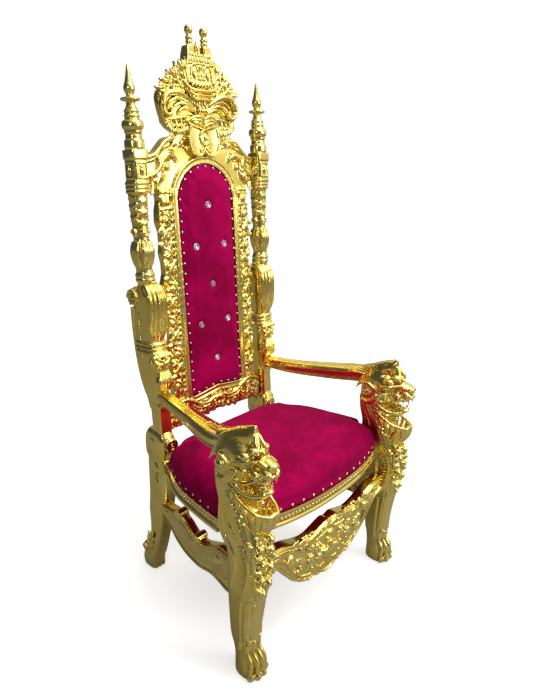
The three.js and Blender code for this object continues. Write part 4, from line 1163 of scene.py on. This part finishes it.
for s in (-1, 1):
    def at(out, y, z, wide, tall):
        return [HEAD_X + s * min(out, 50), max(y, -357), z, wide, tall]

    # Combed hair runs from the sharp front of the tuft back over the arm and down the side of the head.
    for k in range(7):
        strand(form, [at(2 + 1.5 * k, -287 + 2 * k, 814 - 7 * k, 2.5, 4), at(9 + 3 * k, -262 + 3 * k, 806 - 8 * k, 3.2, 5),
                      at(17 + 4 * k, -228 + 5 * k, 792 - 10 * k, 3.4, 5), at(24 + 3.4 * k, -192 + 3 * k, 772 - 10 * k, 3, 4),
                      at(26 + 3.2 * k, -168 + 2 * k, 758 - 11 * k, 2, 2)], (s * (0.3 + 0.12 * k), 0, 1), 4, 8)

    # Two heavy brows, the deep-set eye with its lids, and the broad side of the nose.
    lump(form, (HEAD_X + s * 17, -295, 759), (17, 19, 12), (-14, 0, s * 16), detail=18)
    strand(form, [at(5, -288, 796, 6, 7), at(8, -296, 780, 8, 8), at(14, -304, 764, 9, 8), at(20, -308, 752, 6, 6)],
           (s * 0.3, -1, 0.2), 4, 10)
    lump(form, (HEAD_X + s * 33, -277, 744), (14, 20, 12), (-14, 0, s * 24), detail=16)
    strand(form, [at(10, -322, 744, 4, 5), at(20, -314, 738, 5, 6), at(30, -298, 734, 5.5, 7), at(42, -276, 728, 5.5, 7),
                  at(49, -254, 722, 4, 5)], (s * 0.5, -0.7, 0.4), 5, 10)
    lump(form, (HEAD_X + s * 33, -272, 712), (10, 11, 8.5), detail=16)
    strand(form, [at(20, -296, 718, 2.5, 3.5), at(32, -284, 720, 3.2, 4), at(42, -266, 718, 3, 4),
                  at(47, -250, 710, 2, 3)], (s * 0.7, -0.7, 0), 4, 8)
    strand(form, [at(20, -296, 712, 2.5, 3.5), at(33, -282, 702, 3.2, 4), at(43, -264, 700, 3, 4),
                  at(47, -250, 706, 2, 3)], (s * 0.7, -0.7, -0.2), 4, 8)
    lump(form, (HEAD_X + s * 11, -349, 729), (8, 10, 7.5), detail=14)
    strand(form, [at(18, -342, 734, 3, 5), at(19, -322, 738, 4, 6), at(18, -300, 736, 3, 5)], (s, -0.2, 0.4), 4, 8)

    # Lip pads, and the long wavy roll of the upper lip with a fang in front.
    lump(form, (HEAD_X + s * 14, -336, 711), (13, 22, 13), (12, 0, s * 10), detail=16)
    lump(form, (HEAD_X + s * 24, -308, 700), (12, 22, 13), (16, 0, s * 12), detail=16)
    strand(form, [at(2, -356, 709, 4, 5), at(12, -354, 702, 5, 6), at(22, -340, 694, 5.5, 7), at(28, -322, 690, 5.5, 6),
                  at(34, -304, 680, 5.5, 7), at(38, -286, 670, 5.5, 7), at(41, -268, 666, 5, 6), at(44, -250, 672, 4, 5)],
           (s * 0.7, -0.7, 0), 5, 10)
    strand(form, [at(13, -348, 700, 4, 4), at(13, -350, 689, 3.2, 3.2), at(12, -349, 677, 0.9, 0.9)], FRONT, 3, 8)
    for k in range(4):
        lump(form, (HEAD_X + s * (21 + 4 * k), -334 + 15 * k, 685 - 5 * k), (2.8, 3.4, 5), detail=8)

    # The lower jaw: a thick rim round the open mouth, with its own fang and teeth.
    strand(form, [at(43, -248, 652, 5, 7), at(40, -272, 642, 6.5, 9), at(33, -298, 636, 7, 9), at(22, -322, 640, 7, 9),
                  at(10, -338, 648, 7, 8), at(-3, -342, 650, 6.5, 7)], (s * 0.5, -0.5, 0.6), 5, 12)
    strand(form, [at(16, -333, 652, 3.4, 3.4), at(16, -335, 663, 2.7, 2.7), at(15, -335, 673, 0.9, 0.9)], FRONT, 3, 8)
    for k in range(4):
        lump(form, (HEAD_X + s * (3 + 3.6 * k), -341 + 1.2 * k * k, 659), (2, 2.4, 4.6), detail=8)
        lump(form, (HEAD_X + s * (23 + 4 * k), -318 + 13 * k, 646), (2.6, 3.4, 4.8), detail=8)
    strand(form, [at(38, -262, 630, 5, 6), at(30, -290, 622, 6, 7), at(16, -314, 624, 6, 7), at(0, -322, 630, 6, 7)],
           (s * 0.4, -0.7, -0.4), 4, 10)

    # Crescent folds behind the mouth, and the round ear low on the side.
    for k in range(3):
        strand(form, [at(48 + k, -262 + 9 * k, 698 - 3 * k, 3, 4), at(53, -252 + 10 * k, 678 - 3 * k, 5, 6),
                      at(54, -240 + 12 * k, 662 - 2 * k, 5.5, 6), at(51, -222 + 12 * k, 655, 4, 5),
                      at(47, -206 + 10 * k, 662, 2, 3)], (s, -0.2, -0.1), 4, 8)
    volute(form, (HEAD_X + s * 47, -200, 694), (0, -1, 0.2), (0, 0.2, 1), 21, 1.25, 0.22, 0.42, 0.2, way=s)
    strand(form, [at(46, -186, 718, 4, 5), at(50, -206, 724, 5, 6), at(50, -228, 716, 4, 5), at(48, -240, 704, 2, 3)],
           (s, 0, 0.3), 4, 8)

    # The mane band: a border ridge, rows of scaly serrations, and a beaded back edge.
    leg_rib(form, [(650, s * 92, 3, 4), (612, s * 88, 3.4, 4.5), (575, s * 78, 3.4, 4.5), (535, s * 66, 3.4, 4.5),
                   (500, s * 60, 3, 4)], 5)
    leg_rib(form, [(668, s * 140, 4, 5), (620, s * 138, 4.5, 5), (575, s * 136, 4.5, 5), (530, s * 132, 4.5, 5),
                   (490, s * 126, 4, 5), (452, s * 118, 3, 4)], 5)
    for row in range(15):
        z = 652 - row * 11
        near, far = 94 - row * 2.2, 134 - row * 1.2
        for col in range(3):
            turn = near + (far - near) * (col + 0.5) / 3
            middle = on_leg(z, s * turn, 1)
            tip = on_leg(z - 11, s * (turn - 4), 0)
            strand(form, [[*on_leg(z + 5, s * (turn + 3), -1), 2.6, 2], [*middle, 5.6, 3.6], [*tip, 1.4, 1.6]],
                   (s, 0, 0), 2, 6)
    for row in range(6):
        leg_rib(form, [(648 - row * 19, s * (88 - 3.5 * row), 3, 3), (640 - row * 19, s * (72 - 3.5 * row), 5, 5),
                       (628 - row * 19, s * (58 - 3 * row), 3, 3)], 3)

    # The collar: pleats hang from a rim that runs round under the jaw, hollow inside like a bowl.
    rim = [at(45, -244, 632, 4, 5), at(46, -272, 616, 5, 6), at(42, -304, 601, 5.5, 6), at(33, -334, 592, 6, 6),
           at(19, -355, 588, 6, 6), at(6, -360, 589, 6, 6), at(-4, -360, 589, 6, 6)]
    strand(form, rim, (s * 0.4, -0.6, 0.7), 4, 10)
    for k in range(8):
        t = k / 7
        top = through(rim[:6], 7)[k * 5][:3]
        x, y, z = top
        low_x, low_y, low_z = LEG_X + s * (5 + 17 * (1 - t)), -316 + 18 * (1 - t), 500 + 20 * (1 - t)
        strand(form, [[x, y, z, 6, 6], [x + (low_x - x) * 0.18 + s * 1.5, y + (low_y - y) * 0.05, z - 20, 6.5, 7],
                      [x + (low_x - x) * 0.52, y + (low_y - y) * 0.32, z - 50 + 8 * (1 - t), 5.5, 7],
                      [low_x, low_y, low_z, 3, 4]], (s * (1 - t) * 1.2, -1, 0), 4, 8)
    tube(form, [oval((HEAD_X + s * 10, y, z), (half, 0, 0), (0, deep, 0)) for y, z, half, deep in (
        (-300, 500, 14, 12), (-312, 530, 22, 20), (-318, 556, 26, 24), (-322, 572, 26, 24))], 20)

    # The scrolled border and bead row round the garland, ribs of leaf at the side, and the flutes of the shank.
    leg_rib(form, [(512, s * 20, 4, 6), (484, s * 34, 5, 7), (440, s * 40, 5, 7), (390, s * 38, 5, 7),
                   (350, s * 26, 5, 7), (318, s * 12, 5, 7), (298, s * 2, 4, 6)], 5, 10)
    for k in range(22):
        z = 492 - 9 * k
        lump(form, on_leg(z, s * (52 - max(0, 390 - z) * 0.32), 0.5), (3, 3, 3), detail=8)
    volute(form, on_leg(488, s * 58, 1), (0, -1, 0), UP, 15, 1.4, 0.24, 0.4, way=s)
    leg_rib(form, [(476, s * 74, 4, 6), (440, s * 66, 5, 7), (400, s * 64, 5, 7), (360, s * 72, 5, 6),
                   (320, s * 84, 4, 5), (280, s * 92, 3, 4)], 5, 10)
    leg_rib(form, [(486, s * 104, 4, 5), (440, s * 94, 5, 6), (396, s * 92, 5, 6), (350, s * 100, 4, 5),
                   (310, s * 108, 3, 4)], 5, 10)
    for k in range(12):
        z = 478 - 11 * k
        leg_rib(form, [(z + 4, s * 70, 1.8, 3), (z, s * 78, 2.4, 4), (z - 6, s * 88, 1.8, 3)], 3, 6)
    acanthus(form, on_leg(404, s * 52, -1), (0, 0.35, -1), (s, -0.6, 0), 74, 26, 0.2 * s, 0.0, 5, 0.07)
    for turn, top in ((12, 286), (30, 300), (60, 300), (84, 292)):
        leg_rib(form, [(top, s * turn, 3, 4), (top - 50, s * turn, 4.5, 4), (190, s * turn, 4, 3.6),
                       (128, s * turn, 3, 3.4)], 4, 8)
    leg_rib(form, [(330, s * 46, 3, 4), (260, s * 45, 3.4, 5), (190, s * 45, 3, 4.4), (150, s * 44, 2, 3)], 4, 8)
    for k in range(3):
        lump(form, on_leg(166 - 13 * k, s * (44 - 10 * k), 1), (5 + k, 5 + k, 8), detail=10)
    for turn in (0, 42, 84):
        acanthus(form, on_leg(132, s * turn, 0), (0, 0, -1),
                 (s * math.sin(math.radians(turn)), -math.cos(math.radians(turn)), 0), 30, 18, 0, 0.1, 3, 0.12)

# The garland: roses, buds and leaves pile up down the front.
for k, (turn, z, size) in enumerate(((-12, 494, 13), (12, 484, 12), (-8, 466, 15), (16, 458, 12), (-20, 440, 12),
                                     (5, 434, 15), (-8, 408, 14), (18, 412, 10), (-18, 392, 11), (6, 382, 14),
                                     (-6, 356, 12), (8, 340, 10), (0, 322, 8))):
    middle = on_leg(z, turn, 5)
    lump(form, middle, (size, 10, size), detail=14)
    volute(form, middle + FRONT * 7, (1, 0, 0), UP, size * 0.8, 1.25, 0.26, 0.5, 0.3, way=1 if k % 2 else -1)
    for petal in range(5):
        angle = petal * 2 * math.pi / 5 + k
        lump(form, middle + Vector((size * math.cos(angle), 2, size * math.sin(angle))), (5, 7, 5), detail=8)

# The paw: four long straight toes that fan out, each with a knuckle and a round clawed end.
for k in range(4):
    turn = (k - 1.5) * 31
    way = Vector((math.sin(math.radians(turn)), -math.cos(math.radians(turn)), 0))
    root = Vector((354, -282, 0))
    tip = Vector((353, -296, 0))

    def toe(out, z, half, tall, start=None):
        return [*((start or tip) + way * out + UP * z), half, tall]

    strand(form, [toe(22, 112, 5, 6, root), toe(31, 92, 7.5, 9, root), toe(34, 70, 8, 10, tip), toe(39, 50, 8, 9),
                  toe(40, 36, 7, 8)], way + UP * 0.5, 4, 12)
    lump(form, tip + way * 34 + UP * 62, (9.5, 9.5, 9), detail=12)
    lump(form, tip + way * 41 + UP * 25, (12, 12, 14), detail=16)
    lump(form, tip + way * 40 + UP * 42, (8.5, 8.5, 7), detail=12)
    strand(form, [toe(46, 33, 4, 4), toe(51, 27, 3.6, 3.6), toe(51, 18, 2, 2)], way, 3, 8)
bmesh.ops.bisect_plane(form, geom=form.verts[:] + form.edges[:] + form.faces[:], plane_co=(0, 0, 9.6),
                       plane_no=(0, 0, 1), clear_inner=True)
bmesh.ops.holes_fill(form, edges=[e for e in form.edges if e.is_boundary])
lion = piece(form, "carved_lion_leg_right")
carved(lion, 1.8, 92000)
for obj, side in ((lion, "right"), (other_side(lion, "carved_lion_leg_left"), "left")):
    show(obj, "gilding", GILDING, f"front_leg_{side}")

# ---------------------------------------------------------------- arms
# A broad smooth arm sweeps from the post to the lion's mane, with a rolled moulding under each edge, a groove on
# the inside, and fine leaves carved where it meets the mane. It is tenoned and glued at both ends.
ARM_RUN = [
    [262, 253, 672, 720, 23], [215, 256, 671, 720, 24], [160, 268, 670, 722, 26], [90, 285, 673, 728, 28],
    [20, 304, 680, 738, 31], [-50, 325, 687, 748, 35], [-110, 342, 696, 757, 38], [-150, 348, 702, 762, 38],
    [-196, 349, 708, 764, 33],
]
stations = [s for s in through(ARM_RUN, 5) if s[0] > -190]
form = bmesh.new()
tube(form, [oval((x, y, (low_side + top) / 2 + 6), (half - 2, 0, 0), (0, 0, (top - low_side) / 2 - 8), (0, 1, 0))
            for y, x, low_side, top, half in stations], 32, [3.0] * len(stations))
for side in (-1, 1):
    strand(form, [[x + side * (half - 5), y, top - 20, 6, 5] for y, x, low_side, top, half in stations[::4]],
           (side, 0, 0.2), 4, 10)
    strand(form, [[x + side * (half - 9), y, top - 33, 5, 5] for y, x, low_side, top, half in stations[::4]],
           (side, 0, 0), 4, 10)
for k in range(9):
    off = (k - 4) * 7.5
    drop = off * off / 55
    strand(form, [[343 + off, -182, 764 - drop, 2.4, 3], [339 + off * 0.95, -138, 760 - drop, 3, 3.6],
                  [333 + off * 0.9, -92 + 9 * (k % 2), 753 - drop, 1.2, 1.6]], UP, 5, 8)
strand(form, [[x, y, low_side + 8, half - 12, 8] for y, x, low_side, top, half in stations[::4]], (0, 0, -1), 4, 12)
strand(form, [[x, y, top - 2, 6, 3.4] for y, x, low_side, top, half in stations[:-8:4]], (0, 0, 1), 4, 10)
arm = piece(form, "carved_arm_right")
carved(arm, 2.2, 36000)
for obj, side in ((arm, "right"), (other_side(arm, "carved_arm_left"), "left")):
    show(obj, "gilding", GILDING, f"arm_{side}")

# ---------------------------------------------------------------- stretchers
# Carved boards brace the legs: a deep one in front with flowers, shells and beads under an ogee edge, and one at
# each side with a hollowed band, stepped scrolls and a curled leaf.
FRONT_EDGE = [(0, 366), (24, 372), (60, 363), (100, 352), (130, 354), (165, 364), (200, 378), (240, 390), (285, 394),
              (309, 392)]
FRONT_FOOT = [(309, 338), (290, 334), (258, 318), (215, 270), (190, 240), (170, 222), (148, 208), (130, 196), (114, 190),
              (100, 182), (86, 188), (72, 184), (56, 176), (40, 176), (20, 166), (0, 164)]
form = bmesh.new()
upper_half = [(p[0], p[1]) for p in through([list(p) for p in FRONT_EDGE], 3)]
lower_half = [(p[0], p[1]) for p in through([list(p) for p in FRONT_FOOT], 3)]
right_half = [*reversed(lower_half), *reversed(upper_half)]
closed = [*right_half[:-1], right_half[-1], *[(-x, z) for x, z in reversed(right_half) if x > 0.01]]
board(form, closed, -300, -267, 3)
strand(form, across_middle([(x, -300, z - 7, 5, 7) for x, z in FRONT_EDGE]), FRONT, 4, 10)
strand(form, across_middle([(x, -300, z - 19, 3, 5) for x, z in FRONT_EDGE]), FRONT, 4, 8)
strand(form, across_middle([(x, -300, z + 7, 5, 7) for x, z in reversed(FRONT_FOOT)]), FRONT, 3, 10)
for side in (-1, 1):
    s = side
    strand(form, [[s * 300, -301, 366, 4, 5], [s * 262, -302, 356, 5, 6], [s * 226, -302, 330, 5, 6],
                  [s * 200, -302, 296, 5, 6], [s * 182, -302, 268, 4, 5]], FRONT, 5, 10)
    volute(form, (s * 196, -303, 318), (s, 0, 0), UP, 20, 1.6, 0.22, 0.35, way=1)
    volute(form, (s * 150, -303, 262), (s, 0, 0), UP, 19, 1.6, 0.22, 0.35, way=-1)
    volute(form, (s * 148, -303, 330), (s, 0, 0), UP, 16, 1.5, 0.22, 0.35, way=1)
    for x, z, dx, dz, length, wide in ((216, 352, -1, 0.1, 52, 26), (170, 302, -0.6, -0.8, 46, 28), (126, 312, -1, 0.3, 46, 28),
                                       (176, 350, -1, -0.1, 46, 22), (120, 232, -0.8, 0.5, 44, 26),
                                       (86, 226, -0.3, -1, 38, 24), (60, 218, -0.2, -1, 36, 24), (112, 214, 0.1, -1, 26, 20),
                                       (30, 344, 1, 0.3, 52, 22), (72, 336, 1, 0.1, 46, 20), (142, 230, 0.4, -1, 26, 18),
                                       (244, 356, 0.9, 0.4, 44, 20)):
        acanthus(form, (s * x, -299, z), (s * dx, 0, dz), FRONT, length, wide, 0.25 * s, 0.06, 4, 0.12)
    for k, (x, z, size) in enumerate(((62, 290, 17), (98, 268, 14), (52, 248, 13), (96, 306, 12))):
        for turn in range(6):
            angle = turn * math.pi / 3 + k
            lump(form, (s * x + size * 0.75 * math.cos(angle), -303, z + size * 0.75 * math.sin(angle)),
                 (size * 0.42, 7, size * 0.42), detail=10)
        lump(form, (s * x, -306, z), (size * 0.36, 6, size * 0.36), detail=10)
    beads(form, [(s * 22, -302, 206), (s * 60, -302, 200), (s * 100, -302, 206), (s * 140, -302, 224),
                 (s * 178, -302, 262)], 3.6, 9)
    beads(form, [(s * 24, -302, 330), (s * 70, -302, 322), (s * 120, -302, 340)], 3.4, 8.5)
    for k in range(9):
        lump(form, (s * (8 + 16 * k), -292, 366 - 12 * math.sin(k / 9 * math.pi) + 3 * (k % 2)), (8, 10, 6), detail=8)
for i in range(9):
    angle = math.pi + (i - 4) * 0.36
    strand(form, [[0, -302, 268, 4, 5], [26 * math.sin(angle), -307, 268 - 26 * math.cos(angle) * -1, 6, 8],
                  [44 * math.sin(angle), -302, 268 + 44 * math.cos(angle), 6, 6]], FRONT, 3, 8)
lump(form, (0, -305, 278), (15, 10, 15), detail=14)
lump(form, (0, -303, 316), (20, 8, 12), detail=14)
strand(form, [[0, -303, 226, 6, 6], [0, -305, 204, 7, 7], [0, -302, 182, 4, 5]], FRONT, 3, 8)
front = piece(form, "carved_front_stretcher")
carved(front, 2.0, 72000)
show(front, "gilding", GILDING, "stretcher_front")

SIDE_RUN = [
    [236, 262, 312], [190, 258, 318], [138, 246, 330], [98, 226, 338], [50, 214, 334], [8, 213, 318],
    [-30, 216, 318], [-60, 224, 324], [-110, 242, 350], [-150, 246, 370], [-200, 244, 376], [-238, 256, 378],
]
stations = through(SIDE_RUN, 3)


def lean_out(y):
    """How far out the side stretcher is at y."""
    return 270 + ((240 - y) / 480) * 84


form = bmesh.new()
tube(form, [oval((lean_out(y), y, (bottom + top) / 2), (16, 0, 0), (0, 0, (top - bottom) / 2 - 1), (0, 1, 0))
            for y, bottom, top in stations], 28, [5] * len(stations))
for side in (-1, 1):
    out = (side, 0, 0)
    strand(form, [[lean_out(y) + side * 15, y, top - 9, 5, 6] for y, bottom, top in SIDE_RUN], out, 4, 8)
    strand(form, [[lean_out(y) + side * 15, y, top - 22, 2.5, 4] for y, bottom, top in SIDE_RUN], out, 4, 8)
    strand(form, [[lean_out(y) + side * 15, y, bottom + 8, 5, 6] for y, bottom, top in SIDE_RUN], out, 4, 8)
    strand(form, [[lean_out(y) + side * 15, y, bottom + 20, 2.5, 4] for y, bottom, top in SIDE_RUN], out, 4, 8)
    for y, z, size, way in ((92, 328, 19, 1), (-24, 306, 18, -1), (168, 292, 18, 1), (-150, 322, 20, 1), (-196, 282, 16, -1),
                            (-90, 286, 14, 1)):
        volute(form, (lean_out(y) + side * 16, y, z), (0, -1, 0), UP, size, 1.5, 0.22, 0.3, way=way)
    for y, z, dy, dz, length in ((204, 300, -1, -0.3, 60), (140, 280, -1, -0.1, 52), (70, 262, -1, 0.3, 48), (20, 256, -1, 0, 46),
                                 (-120, 296, -1, 0.4, 46), (-160, 268, -1, 0.1, 52), (-60, 262, -1, 0.2, 40)):
        acanthus(form, (lean_out(y) + side * 15, y, z), (-0.17 * dy * -1, dy, dz), out, length, 30, 0.2, 0.0, 4, 0.07)
    beads(form, [(lean_out(-120) + side * 17, -120, 262), (lean_out(-210) + side * 17, -210, 268)], 3.2, 8)
    beads(form, [(lean_out(0) + side * 17, 0, 296), (lean_out(60) + side * 17, 60, 306)], 3.2, 8)
for y, z in ((92, 338), (-24, 318)):
    turned_roll = [[lean_out(y) - 22, y, z, 14, 14], [lean_out(y), y, z, 15, 15], [lean_out(y) + 22, y, z, 14, 14]]
    strand(form, turned_roll, UP, 2, 14)
side_board = piece(form, "carved_side_stretcher_right")
carved(side_board, 2.2, 40000)
for obj, side in ((side_board, "right"), (other_side(side_board, "carved_side_stretcher_left"), "left")):
    show(obj, "gilding", GILDING, f"stretcher_{side}")

# ---------------------------------------------------------------- floor, light and camera
# A plain white floor under a white surround, a large soft light overhead and to the right, and a low fill.
# The camera stands to the left of the front, a little above the arms, as the throne was photographed.
form = bmesh.new()
bmesh.ops.create_grid(form, x_segments=1, y_segments=1, size=14000)
form.transform(Matrix.Translation((0, 0, 9)))
floor = piece(form, "floor")
plain, shader, at = material("plain_floor")
cloudy = at.node("ShaderNodeTexNoise", Vector=at, Scale=3.0).between(0.2, 0.8).mix((0.93, 0.93, 0.93), (0.95, 0.95, 0.95))
looked_at = at.tree.nodes.new("ShaderNodeLightPath")
looked_at = Socket(at.tree, looked_at.outputs["Is Camera Ray"])
feed(shader, "Base Color", looked_at.mix((0.30, 0.30, 0.30), cloudy))
feed(shader, "Emission Color", looked_at.mix((0.0, 0.0, 0.0), (0.50, 0.50, 0.50)))
shader.inputs["Emission Strength"].default_value = 1.0
shader.inputs["Roughness"].default_value = 0.9
floor.data.materials.append(plain)

world = bpy.data.worlds.new("studio")
world.use_nodes = True
tree = world.node_tree
ground = tree.nodes["Background"]
seen = tree.nodes.new("ShaderNodeLightPath")
toward = tree.nodes.new("ShaderNodeTexCoord")
aim = tree.nodes.new("ShaderNodeVectorMath")
aim.operation = "DOT_PRODUCT"
aim.inputs[1].default_value = Vector((0.55, -0.25, 0.8)).normalized()
tree.links.new(toward.outputs["Generated"], aim.inputs[0])
lit = Socket(tree, aim.outputs["Value"]).between(-0.05, 0.95)
shade = lit.mix((0.065, 0.075, 0.11), (0.95, 0.93, 0.88))
colour = Socket(tree, seen.outputs["Is Camera Ray"]).mix(shade, (1.0, 1.0, 1.0))
tree.links.new(colour.out, ground.inputs["Color"])
bpy.context.scene.world = world


def softbox(name, place, target, wide, power, colour=(1, 1, 1)):
    """A square soft light facing its target."""
    lamp = bpy.data.lights.new(name, "AREA")
    lamp.size = wide
    lamp.energy = power
    lamp.color = colour
    obj = bpy.data.objects.new(name, lamp)
    obj.location = place
    obj.rotation_euler = (Vector(target) - Vector(place)).to_track_quat("-Z", "Y").to_euler()
    bpy.context.collection.objects.link(obj)


softbox("overhead", (0.4, -0.6, 3.4), (0, 0, 0.8), 1.8, 45)
softbox("front_right", (1.6, -3.2, 2.2), (0, 0, 0.8), 1.4, 42)
softbox("left_fill", (-3.0, -1.5, 2.3), (0, 0, 0.7), 0.5, 14)

camera = bpy.data.objects.new("camera", bpy.data.cameras.new("camera"))
camera.data.sensor_width = 36
camera.data.lens = 556.57 / 691 * 36
azimuth, elevation, roll = (math.radians(v) for v in (-47.7, 19.43, 1.98))
behind = Vector((math.sin(azimuth) * math.cos(elevation), -math.cos(azimuth) * math.cos(elevation),
                 math.sin(elevation)))
level = Vector((math.cos(azimuth), math.sin(azimuth), 0))
tall = behind.cross(level)
rightward = math.cos(roll) * level + math.sin(roll) * tall
upward = math.cos(roll) * tall - math.sin(roll) * level
stand = Matrix((rightward, upward, behind)).transposed().to_4x4()
stand.translation = Vector((-1.2708, -1.1500, 1.4843)) + SHIFT
camera.matrix_world = stand
bpy.context.collection.objects.link(camera)
bpy.context.scene.camera = camera
bpy.context.scene.view_settings.view_transform = "Standard"
